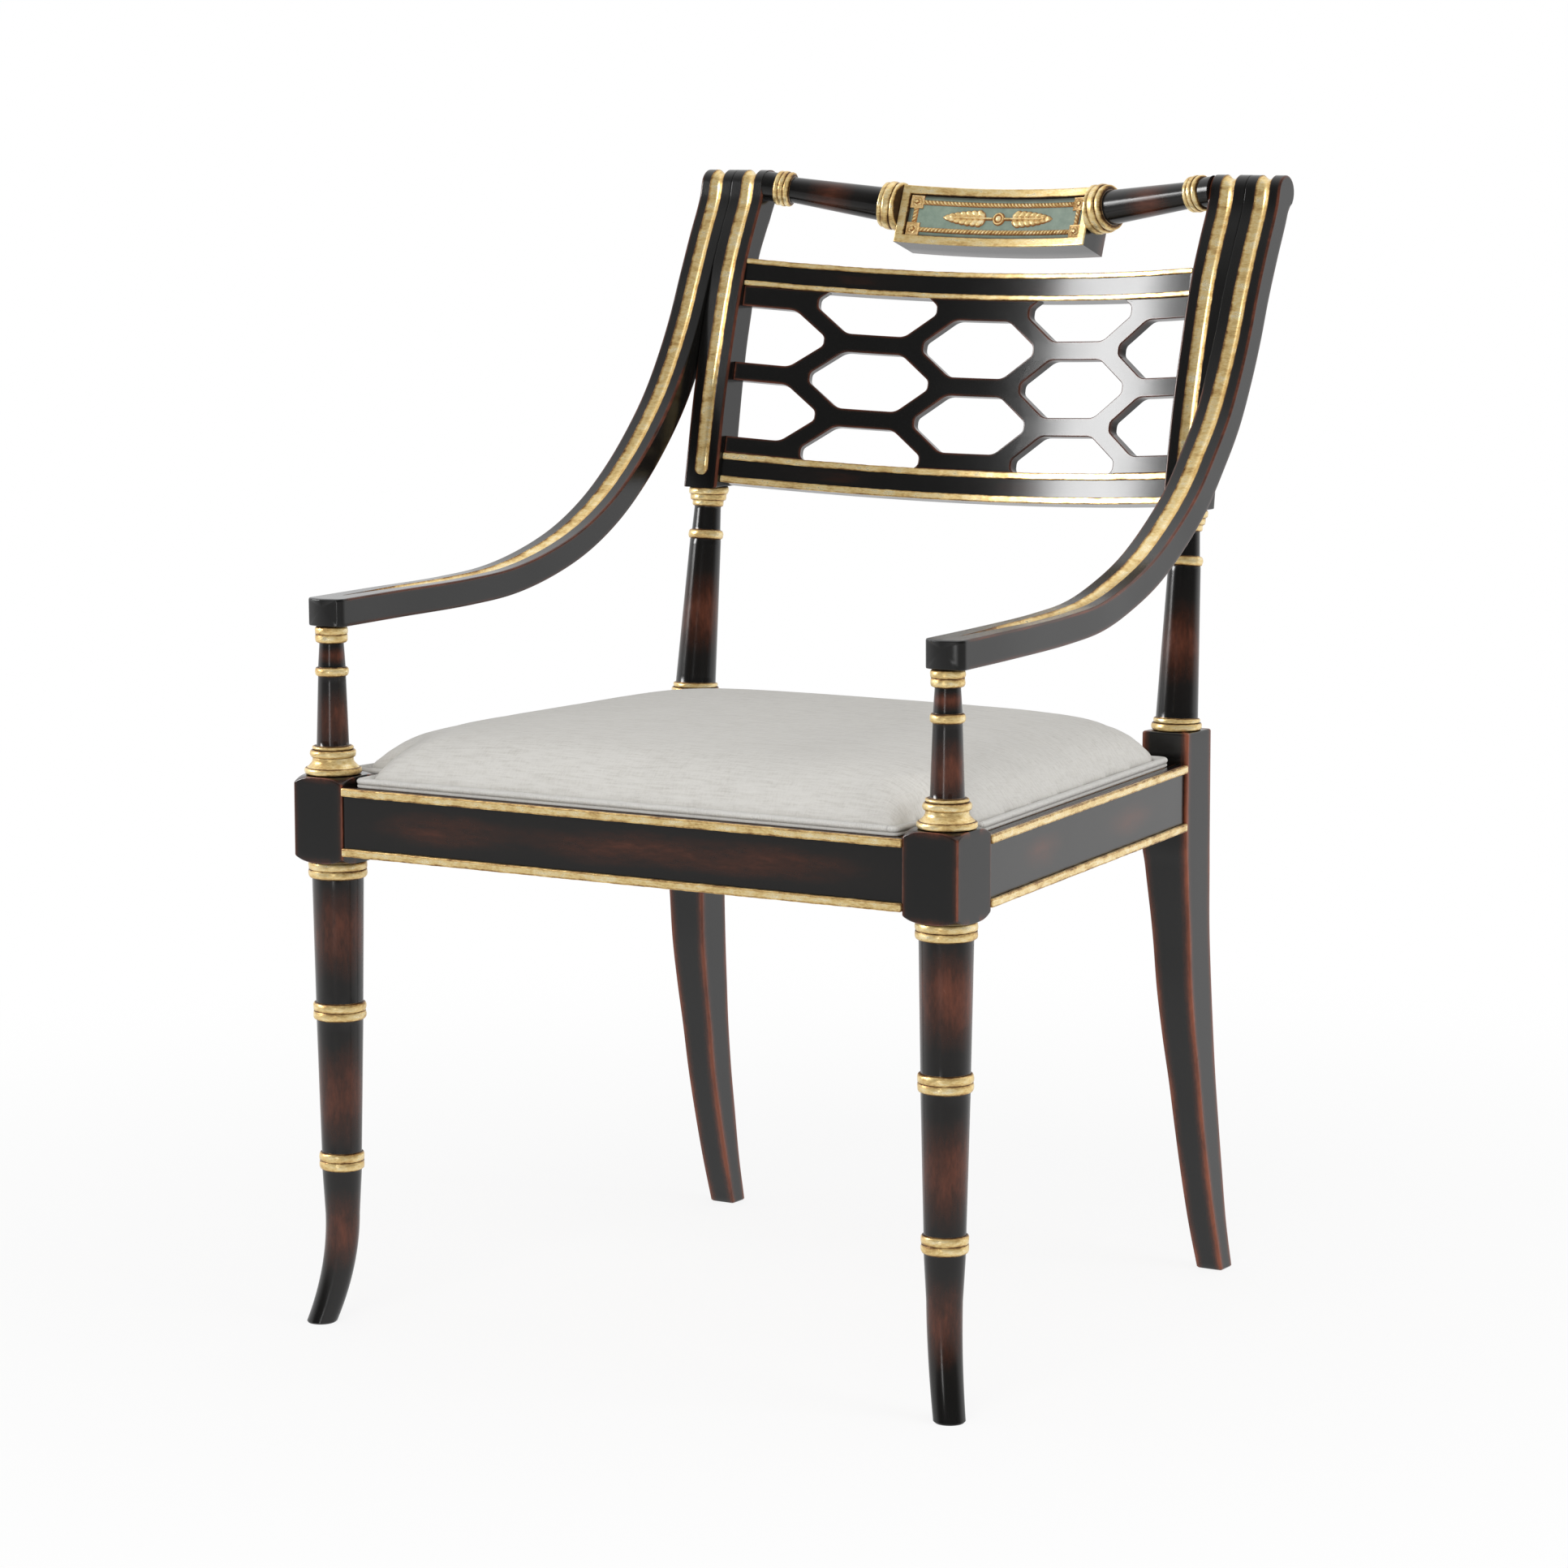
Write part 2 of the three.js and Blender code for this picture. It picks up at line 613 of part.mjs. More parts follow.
// Back leg: height, inner, outer, front and rear of its section, from the head of the block down
function backLeg() {
  const inner = (share) => mix(backBlockInner, backFoot.inner, share);
  const front = (share) => mix(backBlockFront, backFoot.front, share);
  const blockRear = backLegY + backBlock.halfDepth;
  const rear = (share) => mix(blockRear, backFoot.rear, share);
  const outer = (share) => mix(backLegX + backBlock.halfWidth, backFoot.outer, share);
  const top = backBlock.top - backBlock.arris;
  // Shares of the height of the leg, then of the way from block to foot for each of its four faces
  const legShares = [
    [1, 0, 0, 0, 0],
    [0.828, 0, 0.2, 0, 0.02],
    [0.755, 0.13, 0.6, 0.04, 0.05],
    [0.625, 0.38, 1, 0.13, 0.1],
    [0.54, 0.48, 1, 0.18, 0.17],
    [0.45, 0.58, 1, 0.28, 0.26],
    [0.363, 0.69, 1, 0.4, 0.36],
    [0.274, 0.79, 1, 0.51, 0.49],
    [0.184, 0.84, 1, 0.65, 0.63],
    [0.093, 0.9, 1, 0.81, 0.78],
    [0, 1, 1, 1, 1],
  ];
  const rings = legShares.map(([height, in_, out, fore, aft]) => squareRing(inner(in_), outer(out), front(fore), rear(aft), top * height));
  const cap = backBlock.arris;
  rings.unshift(squareRing(inner(0) + cap, outer(0) - cap, front(0) + cap, rear(0) - cap, backBlock.top));
  const { foot } = columnLine();
  return cut(loft(rings), sideTenon(clearance), backTenon(clearance), columnPin(foot, tenonLength, clearance));
}

// Rectangle with cut corners, as a ring of eight points
function squareRing(inner, outer, front, rear, height) {
  const bevel = backBlock.arris;
  const corners = [
    [inner + bevel, front],
    [outer - bevel, front],
    [outer, front + bevel],
    [outer, rear - bevel],
    [outer - bevel, rear],
    [inner + bevel, rear],
    [inner, rear - bevel],
    [inner, front + bevel],
  ];
  return corners.map(([x, y]) => new THREE.Vector3(x, y, height));
}

// Point of a bowed, raked sheet: x across, depth behind its face, t up its slope. The depth of a
// plain piece is laid off along the chair's middle plane, so that its ends stay square to x.
function onSheet(form, x, depth, t, squareToFace = false) {
  const slope = (-2 * form.bow * x) / form.halfSpan ** 2;
  const stretch = Math.sqrt(1 + slope ** 2);
  const back = form.bow * (1 - (x / form.halfSpan) ** 2) + (squareToFace ? depth / stretch : depth * stretch);
  const aside = squareToFace ? (-slope * depth) / stretch : 0;
  const lean = new THREE.Vector2(back, t).rotateAround(new THREE.Vector2(), -form.rake);
  return new THREE.Vector3(x + aside, form.y + lean.x, form.z + lean.y);
}

// A bar that follows the bow from x = start to x = end.
function bowed(form, start, end, front, back, low, high, steps) {
  const rings = [];
  for (let i = 0; i <= steps; i += 1) {
    const x = mix(start, end, i / steps);
    const corners = [[front, low], [back, low], [back, high], [front, high]];
    rings.push(corners.map(([depth, t]) => onSheet(form, x, depth, t)));
  }
  return loft(rings);
}

// Rail of the back: a bowed bar with a rebate along each edge for a gilt bead, and stub tenons
function backRailBody(place, bead) {
  const end = sheet.halfSpan - clearance;
  const high = place.low + place.height;
  const body = bowed(sheet, -end, end, 0, backRail.thickness, place.low, high, backRail.steps);
  const beyond = sheet.halfSpan + overrun;
  const rebates = [
    [place.low - overrun, place.low + bead.height + clearance],
    [high - bead.height - clearance, high + overrun],
  ].map(([low, top]) => bowed(sheet, -beyond, beyond, -overrun, backRail.rebate, low, top, backRail.steps));
  return join(cut(body, ...rebates), railStub(place, 1, 0), railStub(place, -1, 0));
}

function railStub(place, side, gap) {
  const middle = place.low + place.height / 2;
  const near = sheet.halfSpan - backRail.tenonDepth / 2;
  const far = sheet.halfSpan + backRail.tenonDepth + gap;
  const front = (backRail.thickness - backRail.tenonThickness) / 2 - gap;
  const rings = [near, far].map((x) => {
    const depths = [front, front + backRail.tenonThickness + 2 * gap];
    const heights = [middle - backRail.tenonHeight / 2 - gap, middle + backRail.tenonHeight / 2 + gap];
    const corners = [[depths[0], heights[0]], [depths[1], heights[0]], [depths[1], heights[1]], [depths[0], heights[1]]];
    return corners.map(([depth, t]) => onSheet(sheet, sheet.halfSpan, depth, t).setX(side * x));
  });
  return loft(rings);
}

function railBead(low, bead) {
  const end = sheet.halfSpan - clearance;
  const back = backRail.rebate - clearance;
  return bowed(sheet, -end, end, -bead.proud, back, low, low + bead.height, backRail.steps);
}

// Lattice: a bowed plate pierced by long hexagons whose walls stand square to the plate
function hexagon(column, t) {
  const { halfWidth, halfHeight, halfFlat, halfBlunt } = lattice;
  const corner = halfBlunt / 2;
  const quarter = [
    [halfWidth, halfBlunt],
    [halfFlat + corner, halfHeight - corner],
    [halfFlat - corner, halfHeight],
  ];
  const half = [...quarter, ...quarter.toReversed().map(([x, y]) => [-x, y])];
  const outline = [...half, ...half.toReversed().map(([x, y]) => [x, -y])];
  const rings = [-overrun, lattice.thickness + overrun].map((depth) =>
    outline.map(([x, y]) => onSheet(sheet, column * lattice.pitch + x, depth, t + y, true)));
  return loft(rings);
}

function latticePanel() {
  const end = sheet.halfSpan - clearance;
  const low = lowerRail.low + lowerRail.height + clearance;
  const high = upperRail.low - clearance;
  const plate = bowed(sheet, -end, end, 0, lattice.thickness, low, high, lattice.steps);
  const holes = [];
  for (let column = -2; column <= 2; column += 1) {
    const evenRows = [-0.5, 0.5];
    const oddRows = [-1, 0, 1];
    const rows = column % 2 === 0 ? evenRows : oddRows;
    rows.forEach((row) => holes.push(hexagon(column, lattice.centre + row * lattice.rise)));
  }
  return cut(plate, ...holes);
}

// Arm: middle line of the top face as shares of its run back, its rise, and its draw-in at the head
const armShares = [
  [0, 0, 1],
  [0.14, 0.003, 0.96],
  [0.31, 0.008, 0.74],
  [0.417, 0.021, 0.59],
  [0.507, 0.054, 0.42],
  [0.594, 0.105, 0.31],
  [0.671, 0.176, 0.23],
  [0.738, 0.261, 0.21],
  [0.793, 0.354, 0.15],
  [0.842, 0.453, 0.12],
  [0.881, 0.56, 0.07],
  [0.913, 0.668, 0.03],
  [0.94, 0.779, 0],
  [0.969, 0.889, 0],
  [1, 1, 0],
];
const armHead = uprightPoint(uprightFaceShares.at(-1));
const armHeadX = upright.outer + clearance + arm.headWidth / 2;
const armPath = new THREE.CatmullRomCurve3(
  armShares.map(([run, rise, out]) =>
    new THREE.Vector3(mix(armHeadX, arm.noseX, out), mix(arm.noseY, armHead.x, run), mix(arm.noseZ, armHead.y, rise))),
  false,
  "centripetal",
);
const armStationShares = [0, 0.012, 0.035, 0.07, 0.14, 0.22, 0.3];
const armStations = 17;

function armBody() {
  const shares = [...armStationShares];
  const lastShare = armStationShares.at(-1);
  for (let i = 1; i <= armStations; i += 1) {
    shares.push(mix(lastShare, 1, i / armStations));
  }
  const length = armPath.getLength();
  const stations = shares.map((share) => {
    const at = armPath.getPointAt(share);
    const heading = armPath.getTangentAt(share);
    const behind = new THREE.Vector2(heading.z, -heading.y).normalize();
    const face = new THREE.Vector2(at.y, at.z);
    const thickness = mix(arm.noseThickness, arm.headThickness, share);
    return {
      face,
      rear: face.clone().addScaledVector(behind, thickness),
      x: at.x,
      width: mix(arm.noseWidth, arm.headWidth, share),
      fluteDepth: flute.depth * THREE.MathUtils.smoothstep(share * length, flute.start, flute.start + flute.fade),
      bow: share === 0 ? arm.noseBow : 0,
    };
  });
  const over = rollStations(stations.at(-1).rear).map((station) => ({ ...station, x: armHeadX, width: arm.headWidth }));
  return fluted([...stations, ...over]);
}

function postSocket() {
  const low = new THREE.Vector3(post.x, post.y, post.top - overrun);
  return cylinder(tenonRadius + clearance, low, low.clone().setZ(post.top + tenonLength + clearance));
}

// Crest rod: black boss, double ring, plain taper, stout double ring, and a tenon at each end
const rodOuter = new THREE.Vector3(upright.inner - clearance, rod.outerY, rollHeight + rod.outerRise);
const rodInner = new THREE.Vector3(tablet.halfSpan + clearance, rod.innerY, tablet.z + rod.innerRise);
const rodReach = tenonLength * 0.8;
function crestRod() {
  const length = rodOuter.distanceTo(rodInner);
  const slack = rod.innerRingRadius / 4;
  const profile = [
    [rod.bossRadius, -slack],
    [rod.bossRadius, rod.bossLength],
    ...beads(rod.bossLength, rod.outerBead, 2, rod.outerRingRadius * 0.86, rod.outerRingRadius),
    [rod.slimRadius, rod.bossLength + rod.outerBead * 2.8],
    [rod.stoutRadius, length - rod.innerBead * 2.1],
    ...beads(length - rod.innerBead * 2, rod.innerBead, 2, rod.innerRingRadius * 0.86, rod.innerRingRadius),
    [rod.innerRingRadius * 0.86, length + slack],
  ];
  const reach = rod.innerRingRadius * 2;
  const outside = box(
    new THREE.Vector3(rodOuter.x, rodOuter.y - reach, rodOuter.z - reach),
    new THREE.Vector3(rodOuter.x + reach, rodOuter.y + reach, rodOuter.z + reach),
  );
  const within = box(
    new THREE.Vector3(rodInner.x - reach, rodInner.y - reach, rodInner.z - reach),
    new THREE.Vector3(rodInner.x, rodInner.y + reach, rodInner.z + reach),
  );
  return join(cut(turned(profile, rodOuter, rodInner), outside, within), outerPin(0), innerPin(0));
}

// Round tenons of the rod, or with a gap the tools for their sockets. The one in the tablet sits
// behind the axis of the rod, clear of the sunk field.
const rodAlong = rodInner.clone().sub(rodOuter).normalize();
function pinAbout(middle, gap) {
  const reach = rodAlong.clone().multiplyScalar(rodReach + gap);
  return cylinder(tenonRadius + gap, middle.clone().sub(reach), middle.clone().add(reach));
}
const outerPin = (gap) => pinAbout(rodOuter, gap);
function innerPin(gap) {
  const setBack = onSheet(tablet, 0, rod.pinSetBack, 0).sub(onSheet(tablet, 0, 0, 0));
  return pinAbout(rodInner.clone().add(setBack), gap);
}

// Tablet with a sunk field, and the carved panel that lies in it
const tabletPiece = (start, end, front, back, low, high, steps = tablet.steps) =>
  bowed(tablet, start, end, front, back, low, high, steps);

function tabletBody() {
  const body = tabletPiece(-tablet.halfSpan, tablet.halfSpan, 0, tablet.thickness, 0, tablet.height);
  const half = tablet.halfSpan - tablet.border;
  const field = tabletPiece(-half, half, -overrun, tablet.recess, tablet.border, tablet.height - tablet.border);
  return cut(body, field, innerPin(clearance), mirrored(innerPin(clearance)));
}

// Half outline of a leaf spray from its stem to its tip, as shares of its length and half height
const leafShares = [[0.02, 0.3], [0.1, 0.92], [0.3, 1], [0.5, 0.94], [0.7, 0.8], [0.86, 0.55], [1, 0.08]];

function panelBody() {
  const half = tablet.halfSpan - tablet.border - clearance;
  const low = tablet.border + clearance;
  const high = tablet.height - tablet.border - clearance;
  const back = tablet.recess - clearance;
  const face = back - crestPanel.thickness;
  const proud = face - crestPanel.relief;
  const seated = face + crestPanel.thickness / 2;
  const middle = (low + high) / 2;
  const edge = half - crestPanel.ropeInset;
  const { rope, ropeInset, rosette, boss } = crestPanel;
  const pieces = [];
  for (const line of [low + ropeInset, high - ropeInset]) {
    pieces.push(tabletPiece(-edge, edge, proud, seated, line - rope / 2, line + rope / 2));
    for (const side of [-1, 1]) {
      pieces.push(tabletRound(side * edge, line, rosette, proud - rope / 4, seated));
    }
  }
  for (const side of [-1, 1]) {
    pieces.push(tabletPiece(side * edge - rope / 2, side * edge + rope / 2, proud, seated, low + ropeInset, high - ropeInset, 1));
    const spray = leafShares.map(([run, rise]) => [side * (leaf.start + run * leaf.length), rise * leaf.halfHeight]);
    const outline = [...spray, ...spray.toReversed().map(([x, rise]) => [x, -rise])];
    const rings = [proud, seated].map((depth) => outline.map(([x, t]) => onSheet(tablet, x, depth, middle + t)));
    pieces.push(loft(rings));
  }
  const stem = leaf.start + leaf.length / 2;
  pieces.push(tabletPiece(-stem, stem, proud - leaf.stem / 2, seated, middle - leaf.stem, middle + leaf.stem, 4));
  pieces.push(tabletRound(0, middle, boss, proud - rope / 2, seated));
  return join(tabletPiece(-half, half, face, back, low, high), ...pieces);
}

function tabletRound(x, t, radius, front, back) {
  return cylinder(radius, onSheet(tablet, x, front, t), onSheet(tablet, x, back, t));
}

// Plan of the drop-in seat, notched round the blocks, moved in from its edge by the inset
function seatOutline(inset) {
  const r = seat.corner;
  const half = [
    [seat.frontX - inset, seat.frontY + inset, r],
    [seat.frontX - inset, seat.notchY + inset, 0],
    [seat.sideX - inset, seat.notchY + inset, r],
    [seat.sideBackX - inset, seat.sideBackY - inset, r],
    [seat.tongueX - inset, seat.sideBackY - inset, 0],
    [seat.tongueX - inset, seat.backY - inset, r],
  ];
  const corners = [...half, ...half.toReversed().map(([x, y, radius]) => [-x, y, radius])];
  return corners.flatMap(([x, y, radius], i) => {
    const here = new THREE.Vector2(x, y);
    if (radius === 0) {
      return [here];
    }
    const [before, after] = [corners.at(i - 1), corners[(i + 1) % corners.length]];
    const from = new THREE.Vector2(before[0], before[1]).sub(here).setLength(radius).add(here);
    const to = new THREE.Vector2(after[0], after[1]).sub(here).setLength(radius).add(here);
    return new THREE.QuadraticBezierCurve(from, here, to).getPoints(3);
  });
}

// The same plan with extra points, so that no stretch is longer than the given step.
function seatLoop(inset, step) {
  const outline = seatOutline(inset);
  return outline.flatMap((point, i) => {
    const next = outline[(i + 1) % outline.length];
    const parts = Math.max(1, Math.round(point.distanceTo(next) / step));
    return Array.from({ length: parts }, (_, k) => point.clone().lerp(next, k / parts));
  });
}

const boardTop = seatRailTop;
const boardFoot = boardTop - seat.board;
const screwPlaces = [
  [frontBlockInner - screw.inset, rail.thickness + frontRailY + rail.recess + screw.inset],
  [backBlockInner - screw.inset, rail.backInner - screw.inset],
];
const screwHeadZ = seatRailFoot + brace.height / 4;
const braceFoot = screwHeadZ + screw.headHeight + clearance;

function screwShank(x, y, gap) {
  return cylinder(
    screw.radius + gap,
    new THREE.Vector3(x, y, screwHeadZ + screw.headHeight / 2),
    new THREE.Vector3(x, y, boardFoot + screw.bite + gap),
  );
}

function seatScrew(x, y) {
  const under = new THREE.Vector3(x, y, screwHeadZ);
  return join(cylinder(screw.headRadius, under, under.clone().setZ(screwHeadZ + screw.headHeight)), screwShank(x, y, 0));
}

function seatBoard() {
  const shanks = screwPlaces.flatMap(([x, y]) => [screwShank(x, y, clearance), screwShank(-x, y, clearance)]);
  return cut(slab(seatOutline(seat.boardInset), boardFoot, boardTop), ...shanks);
}

// Pocket that the seat board drops into, cut out of the rails
const seatPocket = slab(seatOutline(seat.boardInset - clearance), boardFoot - clearance, seatRailTop + overrun);

// Cushion: a pad that rises in a quarter wave from its welt, with a broad crown over the middle
const padShares = [1, 0.985, 0.955, 0.91, 0.85, 0.77, 0.64, 0.46, 0.22];
const crownPowers = [3.8, 5];
const cushionStep = 44;
function cushionPad() {
  const loop = seatLoop(welt.radius * 2 + clearance, cushionStep);
  const centreY = (seat.frontY + seat.backY) / 2;
  const halfDepth = (seat.backY - seat.frontY) / 2;
  const foot = boardTop + clearance;
  const edge = foot + welt.radius;
  const sides = loop.map((point, i) => new THREE.Line3(onFloor(point), onFloor(loop[(i + 1) % loop.length])));
  const padHeight = (point) => {
    const nearest = Math.min(...sides.map((side) => side.closestPointToPoint(point, true, new THREE.Vector3()).distanceTo(point)));
    const rise = cushion.rim * Math.sin((Math.PI / 2) * Math.min(1, nearest / cushion.rimWidth));
    const across = 1 - Math.abs(point.x / seat.sideX) ** crownPowers[0];
    const along = 1 - Math.abs((point.y - centreY) / halfDepth) ** crownPowers[1];
    return edge + rise + cushion.crown * across * along;
  };
  const scaled = (share) => loop.map((point) => new THREE.Vector3(point.x * share, centreY + (point.y - centreY) * share, 0));
  const waist = 1 - cushion.drawIn / seat.sideX;
  const rings = [scaled(waist).map((point) => point.setZ(foot)), scaled(1).map((point) => point.setZ(edge))];
  padShares.slice(1).forEach((share) => rings.push(scaled(share).map((point) => point.setZ(padHeight(point)))));
  return loft(rings, true);
}

// Welt: a round piping along the edge of the cushion
const weltSides = 6;
const weltStep = 48;
function weltRing() {
  const loop = seatLoop(welt.radius, weltStep);
  const height = boardTop + clearance + welt.radius;
  const count = loop.length;
  const positions = [];
  const index = [];
  loop.forEach((point, i) => {
    const before = loop.at(i - 1);
    const after = loop[(i + 1) % count];
    const along = after.clone().sub(before).normalize();
    const outward = new THREE.Vector2(along.y, -along.x);
    for (let side = 0; side < weltSides; side += 1) {
      const turn = ((side + 0.5) / weltSides) * 2 * Math.PI;
      const spot = point.clone().addScaledVector(outward, welt.radius * Math.cos(turn));
      positions.push(new THREE.Vector3(spot.x, spot.y, height + welt.radius * Math.sin(turn)));
      const a = i * weltSides + side;
      const b = i * weltSides + ((side + 1) % weltSides);
      const c = ((i + 1) % count) * weltSides + side;
      const d = ((i + 1) % count) * weltSides + ((side + 1) % weltSides);
      index.push(a, c, d);
      index.push(a, d, b);
    }
  });
  const geometry = new THREE.BufferGeometry().setFromPoints(positions);
  geometry.setIndex(index);
  return tidy(geometry);
}

// Corner braces of the seat frame, glued behind the rails and round the leg blocks
function frontBrace() {
  const railBack = frontRailY + rail.recess + rail.thickness + clearance;
  const inset = rail.recess + rail.thickness + clearance;
  const side = frontBlockBack + clearance;
  const outline = [
    [frontBlockInner - brace.frontReach, railBack],
    [frontBlockInner - clearance, railBack],
    [frontBlockInner - clearance, side],
    [sideX(side) - inset, side],
    [sideX(side + brace.sideReach) - inset, side + brace.sideReach],
  ];
  return outline;
}

function backBrace() {
  const inset = rail.recess + rail.thickness + clearance;
  const side = backBlockFront - clearance;
  const outline = [
    [backBlockInner - brace.backReach, rail.backInner - clearance],
    [backBlockInner - clearance, rail.backInner - clearance],
    [backBlockInner - clearance, side],
    [sideX(side) - inset, side],
    [sideX(side - brace.backReach) - inset, side - brace.backReach],
  ];
  return outline;
}

function braceBody(outline, place) {
  const points = outline.map(([x, y]) => new THREE.Vector2(x, y));
  const body = slab(points, braceFoot, boardFoot - 2 * clearance);
  return cut(body, screwShank(place[0], place[1], clearance));
}

// The legs and posts
const legAnchor = new THREE.Vector3(frontLegX, frontLegY, 0);
addPair("front_leg", frontLeg(), ebonised(), legAnchor);
addPair("arm_post", armPost(), ebonised(), new THREE.Vector3(post.x, post.y, frontBlock.top));
addPair("back_leg", backLeg(), ebonised(), new THREE.Vector3(backLegX, backLegY, 0));
addPair("back_column", backColumn(), ebonised(), columnLine().foot);

// The uprights and arms
const columnHead = columnLine().head;
const dowelHoles = dowelShares.map((share) => armDowel(share, clearance));
const uprightStationsWide = uprightStationList().map((station) => ({ ...station, x: uprightMiddle, width: uprightWidth }));
const uprightBody = cut(
  fluted(uprightStationsWide),
  columnPin(columnHead, tenonLength, clearance),
  railStub(lowerRail, 1, clearance),
  railStub(upperRail, 1, clearance),
  outerPin(clearance),
  ...dowelHoles,
);
addPair("upright", uprightBody, ebonised(), new THREE.Vector3(uprightMiddle, upright.footY, upright.foot));
const armAnchor = new THREE.Vector3(arm.noseX, arm.noseY, arm.noseZ);
addPair("arm", cut(armBody(), postSocket(), ...dowelHoles), ebonised(), armAnchor);
dowelShares.forEach((share, i) => {
  const anchor = new THREE.Vector3(upright.outer, roll.x, uprightPoint([0, share]).y);
  addPair(`arm_dowel_${i + 1}`, armDowel(share, 0), beech(), anchor);
});

// The back: two rails with gilt beads, the lattice, and the crest
const sheetAnchor = new THREE.Vector3(0, sheet.y, sheet.z);
add("lower_back_rail", backRailBody(lowerRail, lowerBead), ebonised(), sheetAnchor);
add("upper_back_rail", backRailBody(upperRail, upperBead), ebonised(), sheetAnchor);
add("lower_back_rail_bead_bottom", railBead(lowerRail.low, lowerBead), gilded(), sheetAnchor);
add("lower_back_rail_bead_top", railBead(lowerRail.low + lowerRail.height - lowerBead.height, lowerBead), gilded(), sheetAnchor);
add("upper_back_rail_bead_bottom", railBead(upperRail.low, upperBead), gilded(), sheetAnchor);
add("upper_back_rail_bead_top", railBead(upperRail.low + upperRail.height - upperBead.height, upperBead), gilded(), sheetAnchor);
add("lattice", latticePanel(), ebonised(), sheetAnchor);
const crestAnchor = new THREE.Vector3(0, tablet.y, tablet.z);
addPair("crest_rod", crestRod(), ebonised(), rodInner);
add("crest_tablet", tabletBody(), ebonised(), crestAnchor);
add("crest_panel", panelBody(), finish(0x7f9a8a, 0.6, 0), crestAnchor);

// The seat frame and its mouldings
const frontHalf = frontBlockInner - clearance;
const frontFace = frontRailY + rail.recess;
const frontRailBody = crossBar(frontFace, rail.thickness, frontHalf, seatRailFoot, seatRailTop);
add("front_seat_rail", cut(join(frontRailBody, frontTenon(0)), seatPocket), ebonised(), new THREE.Vector3(0, frontFace, seatRailFoot));
const sideFront = frontBlockBack + clearance;
const sideBack = backBlockFront - clearance;
const sideRailBody = sideBar(rail.recess, rail.thickness, sideFront, sideBack, seatRailFoot, seatRailTop);
addPair("side_seat_rail", cut(join(sideRailBody, sideTenon(0)), seatPocket), ebonised(), new THREE.Vector3(sideX(0), 0, seatRailFoot));
const backHalf = backBlockInner - clearance;
const backRailBox = crossBar(rail.backInner, rail.backThickness, backHalf, seatRailFoot, seatRailTop);
add("back_seat_rail", cut(join(backRailBox, backTenon(0)), seatPocket), ebonised(), new THREE.Vector3(0, rail.backInner, seatRailFoot));
const mouldingLows = { lower: seatRailFoot, upper: seatRailTop - moulding.height };
for (const [level, low] of Object.entries(mouldingLows)) {
  const high = low + moulding.height;
  const front = crossBar(frontRailY, moulding.thickness, frontHalf, low, high);
  add(`front_moulding_${level}`, front, gilded(), new THREE.Vector3(0, frontRailY, low));
  const side = sideBar(0, moulding.thickness, sideFront, sideBack, low, high);
  addPair(`side_moulding_${level}`, side, gilded(), new THREE.Vector3(sideX(0), 0, low));
}
addPair("front_brace", braceBody(frontBrace(), screwPlaces[0]), beech(), new THREE.Vector3(frontBlockInner, frontBlockBack, braceFoot));
addPair("back_brace", braceBody(backBrace(), screwPlaces[1]), beech(), new THREE.Vector3(backBlockInner, backBlockFront, braceFoot));

// The drop-in seat
add("seat_board", seatBoard(), beech(), new THREE.Vector3(0, 0, boardFoot));
add("seat_cushion", cushionPad(), finish(0xd6d4cf, 0.92, 0), new THREE.Vector3(0, 0, boardTop));
add("seat_welt", weltRing(), finish(0xcfccc5, 0.92, 0), new THREE.Vector3(0, 0, boardTop));
screwPlaces.forEach(([x, y], i) => {
  addPair(`seat_screw_${i === 0 ? "front" : "back"}`, seatScrew(x, y), finish(0x8f8f8c, 0.35, 1), new THREE.Vector3(x, y, screwHeadZ));
});

// The origin goes under the middle of the chair's box
const bounds = new THREE.Box3().setFromObject(chair);
chair.position.y = -(bounds.min.y + bounds.max.y) / 2;

export default chair;
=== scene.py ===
from math import cos, pi, radians, sin, tau
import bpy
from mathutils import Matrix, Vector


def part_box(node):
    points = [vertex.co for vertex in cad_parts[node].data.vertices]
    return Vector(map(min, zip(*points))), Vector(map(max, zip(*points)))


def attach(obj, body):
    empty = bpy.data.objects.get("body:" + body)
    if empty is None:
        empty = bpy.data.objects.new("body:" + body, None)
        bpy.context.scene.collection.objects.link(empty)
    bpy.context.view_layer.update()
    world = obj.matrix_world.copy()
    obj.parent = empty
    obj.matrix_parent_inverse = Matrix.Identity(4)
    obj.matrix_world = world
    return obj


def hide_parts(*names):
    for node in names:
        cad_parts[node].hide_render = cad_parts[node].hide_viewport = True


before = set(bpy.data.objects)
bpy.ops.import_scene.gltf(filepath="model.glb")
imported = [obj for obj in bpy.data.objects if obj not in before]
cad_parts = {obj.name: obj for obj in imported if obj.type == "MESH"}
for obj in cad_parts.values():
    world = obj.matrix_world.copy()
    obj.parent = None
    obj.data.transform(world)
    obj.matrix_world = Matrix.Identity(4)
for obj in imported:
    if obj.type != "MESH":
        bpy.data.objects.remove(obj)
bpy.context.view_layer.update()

from types import SimpleNamespace as Sizes

import bmesh
import bpy
import numpy as np
from mathutils import Matrix
from mathutils.geometry import tessellate_polygon

